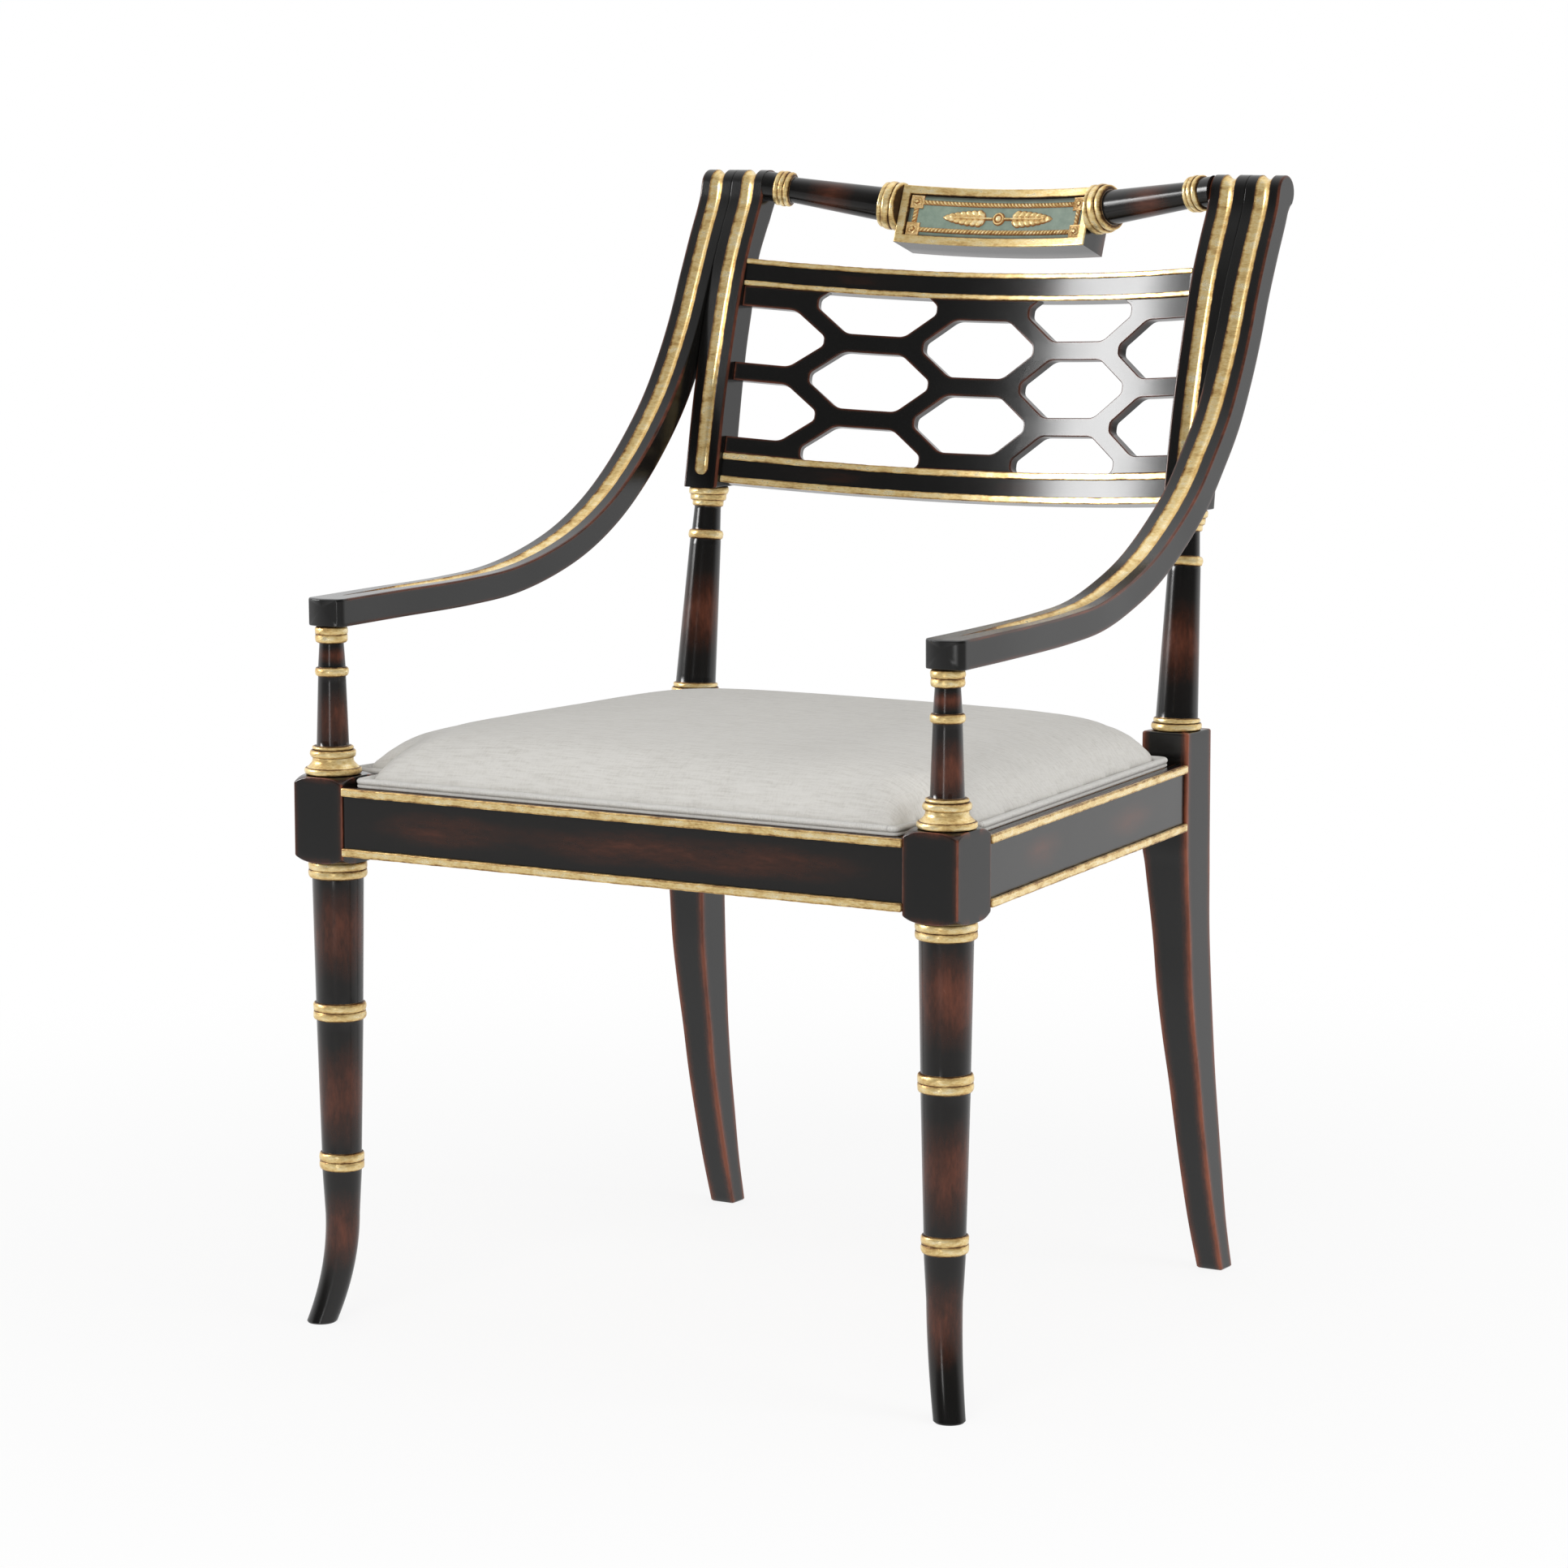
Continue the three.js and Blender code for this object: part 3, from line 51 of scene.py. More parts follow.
# Sizes are millimetres in the chair's own coordinates: x across, y towards the back, z up from the
# floor. The frame gives the shift along y that turns them into the row frame.
MM = 0.001
BLOCK = Sizes(
    x=278.3, y=-221.7, half_width=23.6, half_depth=25.6, top=445.6, bottom=376.1, dome=6.0, crown=22.8,
    arris=1.3, edge=1.0,
)
LEG = Sizes(
    collar=23.5, collar_bead=6.7, top_radius=20.6, ankle=87.0, ankle_radius=13.8, sole_radius=12.3,
    splay_x=12.4, splay_y=13.6,
)
LEG_RINGS = (
    Sizes(height=255.0, radius=21.2, neck=18.9, bead=7.0),
    Sizes(height=132.5, radius=18.1, neck=16.1, bead=7.0),
)
POST = Sizes(
    x=279.8, y=-224.0, foot=445.9, top=563.4, base=22.8, torus=18.4, foot_radius=12.9, head_radius=9.4,
    ring=12.9, collar=12.9,
)
COLUMN = Sizes(
    x=233.5, y=239.2, foot=464.5, head=642.7, lean=19.9, draw_in=2.5, base=20.7, foot_radius=17.3,
    head_radius=11.4,
)
ARM = Sizes(
    nose_x=280.7, nose_y=-231.5, nose_z=586.0, nose_bow=6.0, nose_width=33.6, head_width=31.2,
    nose_thick=22.4, head_thick=21.5,
)
UPRIGHT = Sizes(inner=215.0, outer=247.7, foot=643.0, foot_y=243.7, head_y=337.5, head=913.4, roll=14.0)
FLUTE = Sizes(width=12.4, depth=3.6, arris=1.5, seam=0.35, meet_low=735.0, meet_high=760.0)
BACK_LEG = Sizes(
    x=234.0, y=239.0, half_width=21.0, half_depth=21.4, top=464.2, inner=230.3, outer=253.8,
    front=295.4, rear=315.5, arris=1.7,
)
RAIL = Sizes(
    front_y=-249.1, top=438.7, height=54.6, thick=22.0, recess=3.5, back_y=229.0, side_front=303.1,
    side_back=256.0, rebate=0.8, side_rebate=12.9, arris=0.8,
)
STRIP = Sizes(height=6.6, thick=3.4)
SEAT = Sizes(
    front_x=246.8, front_y=-241.0, notch_y=-189.0, side_x=290.5, side_back_x=244.6, side_back_y=205.0,
    tongue_x=205.0, back_y=233.0, corner=7.0, board=12.3,
)
PAD = Sizes(
    edge=6.1, foot=439.0, lip=2.9, rim=23.6, rim_width=72.0, notch_width=14.0, crown=20.4, draw_in=3.4,
    swell=5.0,
)
SHEET = Sizes(y=251.0, z=648.0, rake=radians(13.6), bow=42.0, half_span=215.0)
BACK_RAIL = Sizes(thick=18.0, proud=1.4)
BACK_RAIL_LEVELS = (
    Sizes(name="lower", foot=0.0, height=25.6, bead=5.7),
    Sizes(name="upper", foot=172.5, height=23.0, bead=4.4),
)
LATTICE = Sizes(
    thick=10.0, pitch=98.0, rise=65.0, middle=97.4, low=25.7, high=172.4, half_width=53.0,
    half_height=24.5, half_flat=26.0, blunt=4.0, arris=0.9,
)
TABLET = Sizes(
    y=335.0, z=853.9, rake=radians(21.4), height=51.7, half_span=92.0, bow=9.0, thick=36.5, lift=0.06,
    border=7.4, recess=6.0, arris=0.9,
)
CREST = Sizes(
    thick=1.7, relief=2.8, step=0.42, rope=4.5, rope_twist=3.4, rope_inset=6.0, rosette=5.2, boss=5.9,
    leaf_start=12.6, leaf=40.5, leaf_half=8.0, leaf_rib=5.6,
)
ROD = Sizes(
    outer_y=332.5, outer_z=899.6, inner_y=355.0, inner_z=882.2, boss=12.6, outer_ring=15.0, slim=11.0,
    stout=14.5, inner_ring=21.0,
)
SEAM = 0.15
CREASE = 38.0
CLOTH_FRAMES = 20

# The studio is in metres, and the photograph's lens in its pixels
VIEW = Sizes(
    azimuth=radians(31.32), elevation=radians(8.68), eye=(2.0326, -3.4059, 0.984), focal=6040.17,
    centre=(970.12, 1030.36), frame=1932,
)
FLOOR_REACH = 20.0
WHITE = (1.0, 1.0, 1.0, 1.0)
CLOTH_SURFACE = {"Roughness": 0.9, "Specular_IOR_Level": 0.25}

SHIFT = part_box("front_moulding_lower")[0][1] / MM - RAIL.front_y
BLOCK_INNER = BLOCK.x - BLOCK.half_width
BLOCK_BACK = BLOCK.y + BLOCK.half_depth
BACK_BLOCK_INNER = BACK_LEG.x - BACK_LEG.half_width
BACK_BLOCK_FRONT = BACK_LEG.y - BACK_LEG.half_depth
RAIL_FOOT = RAIL.top - RAIL.height
FRONT_RUN = (SEAM - BLOCK_INNER, BLOCK_INNER - SEAM)
SIDE_RUN = (BLOCK_BACK + SEAM, BACK_BLOCK_FRONT - SEAM)
REAR_RUN = (SEAM - BACK_BLOCK_INNER, BACK_BLOCK_INNER - SEAM)
SHEET_END = SHEET.half_span - SEAM
SIDES = (("right", 1.0), ("left", -1.0))
WAVES = ((0.11, 1.0), (0.29, 2.3), (0.67, 4.1))
FULL_RUB = 0.62


def row_frame(points):
    """Chair millimetres to metres in the row frame."""
    return (np.asarray(points, float) + (0.0, SHIFT, 0.0)) * MM


def mix(first, second, share):
    return first + (second - first) * share


def smooth(value, low, high):
    """0 below low, 1 above high, and an S curve between."""
    share = np.clip((value - low) / (high - low), 0.0, 1.0)
    return share * share * (3.0 - 2.0 * share)


def quarter_ellipse(share):
    """Rises from 0 at 0 to 1 at 1, steeply first."""
    return np.sqrt(1 - (1 - np.clip(share, 0.0, 1.0)) ** 2)


def half_round(off, radius):
    """Height of a half-round ridge at a distance from its middle line: 1 there, 0 from the radius on."""
    return np.sqrt(np.clip(1 - (off / radius) ** 2, 0.0, 1.0))


def bell(off, spread):
    return np.exp(-((off / spread) ** 2))


def waver(place, seed, size):
    """The small unevenness of handwork: the sum of three sine waves along a line."""
    return size * sum(np.sin(place * pace + turn * seed) for pace, turn in WAVES) / 2


def joined(*columns):
    """Numbers side by side on a last axis, each spread to the shape that they share."""
    return np.stack(np.broadcast_arrays(*columns), axis=-1)


def unit(rows):
    return rows / np.linalg.norm(rows, axis=-1, keepdims=True)


def travelled(path):
    """Distance along a path to each of its rows."""
    steps = np.linalg.norm(np.diff(path, axis=0), axis=1)
    return np.concatenate([[0.0], np.cumsum(steps)])


def quadratic(start, middle, end, t):
    """A curve that leaves start towards the middle and reaches end from there."""
    return (1 - t) ** 2 * start + 2 * t * (1 - t) * middle + t ** 2 * end


# Meshes
def coordinates(mesh):
    flat = np.empty(len(mesh.vertices) * 3)
    mesh.vertices.foreach_get("co", flat)
    return flat.reshape(-1, 3)


def clean(shape, distance):
    """Joins points that nearly touch, and takes out faces without area."""
    bmesh.ops.remove_doubles(shape, verts=shape.verts, dist=distance)
    bmesh.ops.dissolve_degenerate(shape, edges=shape.edges, dist=distance)


def shaded_piece(name, mesh, shape, crease=CREASE):
    """A smooth-shaded object from a bmesh, with its faces turned outwards."""
    if shape.calc_volume(signed=True) < 0:
        bmesh.ops.reverse_faces(shape, faces=shape.faces)
    shape.to_mesh(mesh)
    shape.free()
    mesh.shade_smooth()
    mesh.set_sharp_from_angle(angle=radians(crease))
    piece = bpy.data.objects.new(name, mesh)
    bpy.context.scene.collection.objects.link(piece)
    return piece


def skin(name, rows, marks=None, looped=False, folded=False, crease=CREASE):
    """A closed surface over rings of points, rows[ring, place].

    Quads join each ring to the next. The first and last ring are closed by fans about their
    middles, joined to each other in a loop, or folded flat on to a line, which needs no fan.
    Marks are numbers for each point of the rows.
    """
    rings, around = rows.shape[:2]
    number = np.arange(rings * around).reshape(rings, around)
    lower, upper = (number, np.roll(number, -1, axis=0)) if looped else (number[:-1], number[1:])
    corners = [lower, np.roll(lower, -1, axis=1), np.roll(upper, -1, axis=1), upper]
    faces = np.stack(corners, axis=-1).reshape(-1, 4).tolist()
    points = row_frame(rows).reshape(-1, 3)
    values = {mark: np.broadcast_to(value, (rings, around)).ravel() for mark, value in (marks or {}).items()}
    if not looped and not folded:
        for ring, turned in ((number[0], True), (number[-1], False)):
            ends = [ring, np.roll(ring, -1), np.full(around, len(points))]
            faces += np.stack(ends[::-1] if turned else ends, axis=-1).tolist()
            points = np.vstack([points, points[ring].mean(axis=0)])
            values = {mark: np.append(value, value[ring].mean()) for mark, value in values.items()}
    mesh = bpy.data.meshes.new(name)
    mesh.from_pydata(points.tolist(), [], faces)
    for mark, value in values.items():
        mesh.attributes.new(mark, "FLOAT", "POINT").data.foreach_set("value", value.astype(np.float32))
    mesh.validate()
    shape = bmesh.new()
    shape.from_mesh(mesh)
    clean(shape, SEAM * MM / 100)
    return shaded_piece(name, mesh, shape, crease)


def dress(piece, finish, node):
    """Gives a piece its finish, and lets it ride on the chair in place of its CAD node."""
    piece.data.materials.append(finish)
    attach(piece, "root")
    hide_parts(node)


def dress_pair(name, rows, marks, finish, node, slot="ebonised_wood"):
    """The right-hand piece and its mirror image."""
    for side, sign in SIDES:
        piece = skin(f"{name}_{side}", rows * (sign, 1.0, 1.0), marks)
        dress(piece, finish, f"{node}_{side}")


def through(points, steps):
    """Centripetal Catmull-Rom curve through points of any dimension.

    Each stretch between two points is the Barry-Goldman pyramid of its four neighbours, with
    knots that lie the square root of the distance apart, and has the given number of steps.
    """
    points = np.asarray(points, float)
    points = np.vstack([2 * points[0] - points[1], points, 2 * points[-1] - points[-2]])
    pieces = []
    for i in range(len(points) - 3):
        near = points[i:i + 4]
        gaps = np.sqrt(np.linalg.norm(np.diff(near, axis=0), axis=1)) + 1e-9
        knots = np.concatenate([[0.0], np.cumsum(gaps)])
        last = i == len(points) - 4
        t = np.linspace(knots[1], knots[2], steps + last, endpoint=last)[:, None]
        level = [mix(near[k], near[k + 1], (t - knots[k]) / (knots[k + 1] - knots[k])) for k in range(3)]
        level = [mix(level[k], level[k + 1], (t - knots[k]) / (knots[k + 2] - knots[k])) for k in range(2)]
        pieces.append(mix(level[0], level[1], (t - knots[1]) / (knots[2] - knots[1])))
    return np.vstack(pieces)


def resampled(path, spots):
    """Rows of a path at given distances along the curve of its first two columns."""
    distance = travelled(path[:, :2])
    return np.stack([np.interp(spots, distance, column) for column in path.T], axis=-1)


def rounded(corners, radius, land=2.6, steps=5):
    """A closed outline with its corners rounded, and a mark of 1 round each corner that fades out.

    Each corner becomes a quadratic curve that starts and ends one radius away from it. Points a
    little and a land further along each side hold the mark's fade.
    """
    corners = np.asarray(corners, float)
    points, marks = [], []
    t = np.linspace(0.0, 1.0, steps)[:, None]
    for i, here in enumerate(corners):
        sides = [corners[i - 1] - here, corners[(i + 1) % len(corners)] - here]
        lengths = [np.linalg.norm(side) for side in sides]
        reach = min(radius, 0.35 * min(lengths))
        near = min(reach + land / 4, 0.4 * min(lengths))
        far = min(reach + land, 0.45 * min(lengths))

        def along(side, distance):
            return here + sides[side] / lengths[side] * distance

        curve = quadratic(along(0, reach), here, along(1, reach), t)
        points += [[along(0, far), along(0, near)], curve, [along(1, near), along(1, far)]]
        marks += [[0.0, 0.6], np.ones(steps), [0.6, 0.0]]
    return np.vstack(points), np.concatenate(marks)


def end_turn(radius, steps=5):
    """Insets and setbacks of the rings that round off an end: a quarter circle from face to side."""
    turn = np.linspace(0.0, pi / 2, steps)
    return radius * (1 - np.sin(turn)), radius * (1 - np.cos(turn))


# Turned pieces. A profile is an array of rows: radius, place along the axis, gilt, and hollow shade, which is
# painted shade in grooves.
BEAD_ROWS = 13


def bead(low, high, radius, low_neck, high_neck):
    """A gilt half-round ring: above a straight neck its radius follows the cosine of a half turn."""
    turn = np.linspace(-pi / 2, pi / 2, BEAD_ROWS)
    neck = mix(low_neck, high_neck, (np.sin(turn) + 1) / 2)
    place = (low + high) / 2 + (high - low) / 2 * np.sin(turn)
    swell = np.maximum(np.cos(turn), 0.0)
    # The last column is painted shade, darkest at the necks beside the ring.
    return joined(neck + (radius - neck) * swell ** 0.8, place, 1.0, (1 - swell) ** 1.3)


def bead_stack(low, heights, radii, low_neck, high_neck):
    """Beads one above the other, with shallow grooves between them."""
    stack = []
    for i, (height, radius) in enumerate(zip(heights, radii)):
        first = 0.35 * low_neck + 0.65 * radius if i else low_neck
        last = 0.35 * high_neck + 0.65 * radius if i + 1 < len(radii) else high_neck
        stack.append(bead(low, low + height, radius, first, last))
        low += height
    return np.vstack(stack)


def shaft(start, end, rows=14, gilt=0.0, hollow=0.0, dip=0.0):
    """A plain stretch from (radius, place) to (radius, place), hollowed by the dip at its middle."""
    share = np.linspace(0.0, 1.0, rows)
    radius = mix(start[0], end[0], share) - dip * np.sin(pi * share)
    return joined(radius, mix(start[1], end[1], share), gilt, hollow)


def worn(place, stops):
    """Where the lacquer is rubbed thin: a bell curve about each (middle, spread) stop."""
    return sum(FULL_RUB * bell(place - middle, spread) for middle, spread in stops)


def turned_rows(profile, centres, first, second, around=96):
    """Rings about their centres: a point lies at centre + radius * (cos, sin) along the two axes.

    Gilt rings are a little uneven, so there the radius swells and sinks with the angle.
    """
    angle = np.linspace(0.0, tau, around, endpoint=False)
    place = profile[:, 1:2]
    lumps = np.sin(3 * angle + place) + np.sin(8 * angle - 0.7 * place) + np.sin(13 * angle + 1.9 * place)
    radius = profile[:, :1] + 0.06 * lumps * profile[:, 2:3]
    ring = np.cos(angle)[:, None] * first[:, None] + np.sin(angle)[:, None] * second[:, None]
    return centres[:, None] + radius[..., None] * ring


def straight_axes(profile, foot, head):
    """Centres and cross axes of rings that stand square to the line from foot to head."""
    foot, head = np.asarray(foot, float), np.asarray(head, float)
    along = unit(head - foot)
    first = unit(np.cross((0.0, 1.0, 0.0), along))
    second = np.cross(along, first)
    ones = np.ones((len(profile), 1))
    return foot + profile[:, 1:2] * along, ones * first, ones * second


def profile_marks(profile, stops):
    return {"gilt": profile[:, 2:3], "hollow": profile[:, 3:4], "rub": worn(profile[:, 1:2], stops)}


# Front legs
def block_angles():
    """Angles round the square block, close together at its four corners."""
    corner = np.arctan2(BLOCK.half_depth, BLOCK.half_width)
    corners = np.array([corner, pi - corner, pi + corner, tau - corner])
    near = (corners[:, None] + np.radians(np.linspace(-8.0, 8.0, 21))).ravel()
    even = np.linspace(0.0, tau, 100, endpoint=False)
    clear = np.abs(np.angle(np.exp(1j * (even[:, None] - corners)))).min(axis=1) > radians(8.8)
    return np.sort(np.concatenate([near, even[clear]]))


def block_reach(angle):
    """Distance from the axis to the block's side: a flat face or, at a corner, a quarter circle."""
    ray = np.abs(np.stack([np.cos(angle), np.sin(angle)]))
    half = np.array([[BLOCK.half_width], [BLOCK.half_depth]])
    flat = (half / np.maximum(ray, 1e-9)).min(axis=0)
    centre = half - BLOCK.arris
    along = (ray * centre).sum(axis=0)
    root = along ** 2 - (centre ** 2).sum(axis=0) + BLOCK.arris ** 2
    return np.where((ray * flat > centre).all(axis=0), along + np.sqrt(np.maximum(root, 0.0)), flat)


def block_end(reach, level, up):
    """Rows from the crown of a domed end out and over its edge on to the faces of the block.

    The dome sinks with the square of the distance from the crown. A quadratic curve rounds the
    edge where the dome meets a face, so the edge is an arch on each face.
    """
    corner = np.hypot(BLOCK.half_width, BLOCK.half_depth)

    def dome(radius):
        outwards = np.clip((radius - BLOCK.crown) / (corner - BLOCK.crown), 0.0, 1.0)
        return level - up * BLOCK.dome * outwards ** 2

    rim = np.maximum(reach - BLOCK.edge, BLOCK.crown)
    radius = mix(BLOCK.crown, rim, np.linspace(0.0, 1.0, 9)[:, None])
    face = dome(reach) - up * BLOCK.edge
    t = np.linspace(0.0, 1.0, 7)[1:, None]
    over = quadratic(rim, reach, reach, t)
    fall = quadratic(dome(rim), dome(reach), face, t)
    return np.vstack([radius, over]), np.vstack([dome(radius), fall]), face


def front_legs(finish):
    """Block, collar, shaft with two double rings and kicked foot, as rings from the top down."""
    angle = block_angles()
    reach = block_reach(angle)
    top_radius, top_height, top_face = block_end(reach, BLOCK.top, 1)
    low_radius, low_height, low_face = block_end(reach, BLOCK.bottom, -1)
    share = np.linspace(0.0, 1.0, 12)[1:-1, None]
    radius = np.vstack([top_radius, np.broadcast_to(reach, (len(share), len(reach))), low_radius[::-1]])
    height = np.vstack([top_height, mix(top_face, low_face, share), low_height[::-1]])
    across = BLOCK.half_width - np.abs(radius * np.cos(angle))
    deep = BLOCK.half_depth - np.abs(radius * np.sin(angle))
    edge = np.sort(np.stack([across, deep, BLOCK.top - height, height - BLOCK.bottom]), axis=0)[1]
    edge = np.maximum(edge, 0.0)
    rub = (0.5 * bell(edge, 1.4) + 0.42 * bell(edge, 6.0)) * (radius > BLOCK.crown + 2.0)
    collar = BLOCK.bottom - 2 * LEG.collar_bead
    upper, lower = LEG_RINGS

    def double_ring(form):
        foot = form.height - form.bead
        return bead_stack(foot, [form.bead] * 2, [form.radius] * 2, form.neck, form.neck)

    def below(form):
        return form.neck - 0.2, form.height - form.bead - 0.8

    def above(form):
        return form.neck, form.height + form.bead + 0.8

    profile = np.vstack([
        shaft((LEG.sole_radius - 1.2, 0.0), (LEG.sole_radius, 1.2), rows=3),
        shaft((LEG.sole_radius, 3.0), (LEG.ankle_radius, LEG.ankle), rows=24),
        shaft((LEG.ankle_radius, LEG.ankle + 1.0), below(lower)),
        double_ring(lower),
        shaft(above(lower), below(upper)),
        double_ring(upper),
        shaft(above(upper), (LEG.top_radius, collar - 0.8)),
        bead_stack(collar, [LEG.collar_bead] * 2, [LEG.collar] * 2, LEG.top_radius, LEG.top_radius + 1.2),
    ])[::-1]
    level = profile[:, 1:2] * np.ones(len(angle))
    lumps = np.sin(3 * angle + level) + np.sin(8 * angle - 0.7 * level)
    radius = np.vstack([radius, profile[:, :1] + 0.08 * lumps * profile[:, 2:3]])
    height = np.vstack([height, level])
    splay = np.maximum(0.0, 1 - height / LEG.ankle) ** 2
    x = BLOCK.x + LEG.splay_x * splay + radius * np.cos(angle)
    y = BLOCK.y - LEG.splay_y * splay + radius * np.sin(angle)
    plain = np.zeros_like(rub)
    turned = profile_marks(profile, ((320.0, 40.0), (190.0, 44.0), (75.0, 34.0)))
    marks = {name: np.vstack([plain, value + 0 * level]) for name, value in turned.items()}
    marks["rub"][:len(rub)] = rub
    dress_pair("turned_leg", joined(x, y, height), marks, finish, "front_leg")


# Posts, columns and rods
def arm_posts(finish):
    foot = POST.foot
    profile = np.vstack([
        bead(foot, foot + 5.4, POST.base, POST.base - 2.4, POST.base - 1.8),
        # The cove above the base carries a little painted shade.
        shaft((POST.base - 2.1, foot + 5.7), (16.3, foot + 13.2), rows=10, gilt=1.0, hollow=0.12, dip=1.5),
        bead(foot + 13.5, foot + 19.6, POST.torus, 16.2, 15.6),
        bead(foot + 19.8, foot + 22.6, 16.5, 15.4, 13.6),
        shaft((POST.foot_radius, foot + 23.4), (11.1, 523.4)),
        bead(524.2, 531.0, POST.ring + 0.5, 11.3, 11.1),
        shaft((10.9, 531.8), (POST.head_radius + 0.3, 549.8)),
        bead_stack(POST.top - 12.8, [6.6, 6.2], [POST.collar, POST.collar + 0.2], 10.6, 10.8),
    ])
    rows = turned_rows(profile, *straight_axes(profile, (POST.x, POST.y, 0.0), (POST.x, POST.y, 1.0)))
    marks = profile_marks(profile, ((490.0, 24.0), (541.0, 7.0)))
    dress_pair("turned_post", rows, marks, finish, "arm_post")


def back_columns(finish):
    """The column leans back: its rings tilt with it and turn level towards both ends."""
    length = COLUMN.head - COLUMN.foot
    ring = 601.6 - COLUMN.foot
    capital = length - 16.8
    profile = np.vstack([
        bead(0.0, 5.6, COLUMN.base, COLUMN.base - 2.0, COLUMN.base - 1.2),
        bead(5.8, 9.4, COLUMN.base - 1.4, COLUMN.base - 2.4, 17.6),
        shaft((COLUMN.foot_radius, 10.2), (13.4, ring - 4.6), rows=30),
        bead(ring - 3.8, ring + 3.8, 15.1, 12.9, 12.6),
        shaft((12.3, ring + 4.6), (COLUMN.head_radius, capital - 0.8)),
        bead_stack(capital, [5.2, 5.4, 6.2], [13.4, 15.5, 17.3], 11.6, 15.6),
    ])
    place = profile[:, 1]
    tilt = smooth(np.minimum(place, length - place), 0.0, 18.0) * np.arctan2(COLUMN.lean, length)
    foot = np.array([COLUMN.x, COLUMN.y, COLUMN.foot])
    centres = foot + (place / length)[:, None] * (-COLUMN.draw_in, COLUMN.lean, length)
    rows = turned_rows(profile, centres, joined(1.0, 0.0, 0 * tilt), joined(0.0, np.cos(tilt), -np.sin(tilt)))
    dress_pair("turned_column", rows, profile_marks(profile, ((70.0, 36.0),)), finish, "back_column")


def crest_rods(finish):
    """The rod runs from the upright to the tablet: its ends are cut flat where they meet them."""
    outer = np.array([UPRIGHT.inner - SEAM, ROD.outer_y, ROD.outer_z])
    inner = np.array([TABLET.half_span + SEAM, ROD.inner_y, ROD.inner_z])
    length = np.linalg.norm(inner - outer)
    outer_rings = [ROD.outer_ring, ROD.outer_ring + 0.3, ROD.outer_ring]
    inner_rings = [19.4, ROD.inner_ring - 0.2, ROD.inner_ring]
    profile = np.vstack([
        shaft((ROD.boss, -5.0), (ROD.boss, 7.7), rows=6),
        bead_stack(8.5, [4.9, 4.6, 4.6], outer_rings, ROD.boss, 12.0),
        shaft((ROD.slim, 23.4), (ROD.stout, length - 20.2), rows=24),
        bead_stack(length - 19.4, [4.4, 7.4, 7.6], inner_rings, 15.4, 18.5),
        # The end that enters the tablet is gilt in full painted shade.
        shaft((18.4, length + 0.4), (18.4, length + 6.0), rows=3, gilt=1.0, hollow=1.0),
    ])
    rows = turned_rows(profile, *straight_axes(profile, outer, inner))
    rows[..., 0] = np.clip(rows[..., 0], inner[0], outer[0])
    marks = profile_marks(profile, ((length * 0.48, 24.0),))
    dress_pair("turned_rod", rows, marks, finish, "crest_rod")


# Fluted members: a section with a round-bottomed groove, carried along the face of the member
ROLL_CENTRE = np.array([UPRIGHT.head_y, UPRIGHT.head - UPRIGHT.roll])
ROLL_START = radians(164.7)
ROLL_END = radians(-36.0)
FACE_SHARES = (
    (0, 0), (0.182, 0.325), (0.343, 0.538), (0.431, 0.645), (0.537, 0.751), (0.674, 0.857), (0.815, 0.959),
)
REAR_SHARES = (
    (0.34, 0), (0.426, 0.209), (0.554, 0.452), (0.654, 0.586), (0.768, 0.752), (0.895, 0.839), (0.97, 0.883),
)
NOTCH_SHARE = (1.075, 0.956)
ARM_SHARES = (
    (0, 0, 1), (0.14, 0.003, 0.96), (0.31, 0.008, 0.74), (0.417, 0.021, 0.59), (0.507, 0.054, 0.42),
    (0.594, 0.105, 0.31), (0.671, 0.176, 0.23), (0.738, 0.261, 0.21), (0.793, 0.354, 0.15),
    (0.842, 0.453, 0.12), (0.881, 0.56, 0.07), (0.913, 0.668, 0.03), (0.94, 0.779, 0), (0.969, 0.889, 0),
    (1, 1, 0),
)


def upright_points(shares):
    """Shares of the upright's run and rise as y and z."""
    foot = np.array([UPRIGHT.foot_y, UPRIGHT.foot])
    return foot + np.asarray(shares, float) * (ROLL_CENTRE - foot)


def roll_point(angle):
    return ROLL_CENTRE + UPRIGHT.roll * joined(np.cos(angle), np.sin(angle))


def over_roll(face, rear, rest):
    """Path of a rolled head: the face goes on round the roll while the rear closes in on the notch."""
    face = np.vstack([face, roll_point(np.linspace(ROLL_START, ROLL_END, 61)[1:])])
    missing = len(face) - len(rear)
    closing = np.linspace(0.0, 1.0, missing + 1)[1:, None]
    rear = np.vstack([rear, mix(rear[-1], upright_points(NOTCH_SHARE), closing)])
    rest = np.vstack([rest, np.broadcast_to(rest[-1], (len(face) - len(rest), rest.shape[1]))])
    return np.hstack([face, rear, rest])


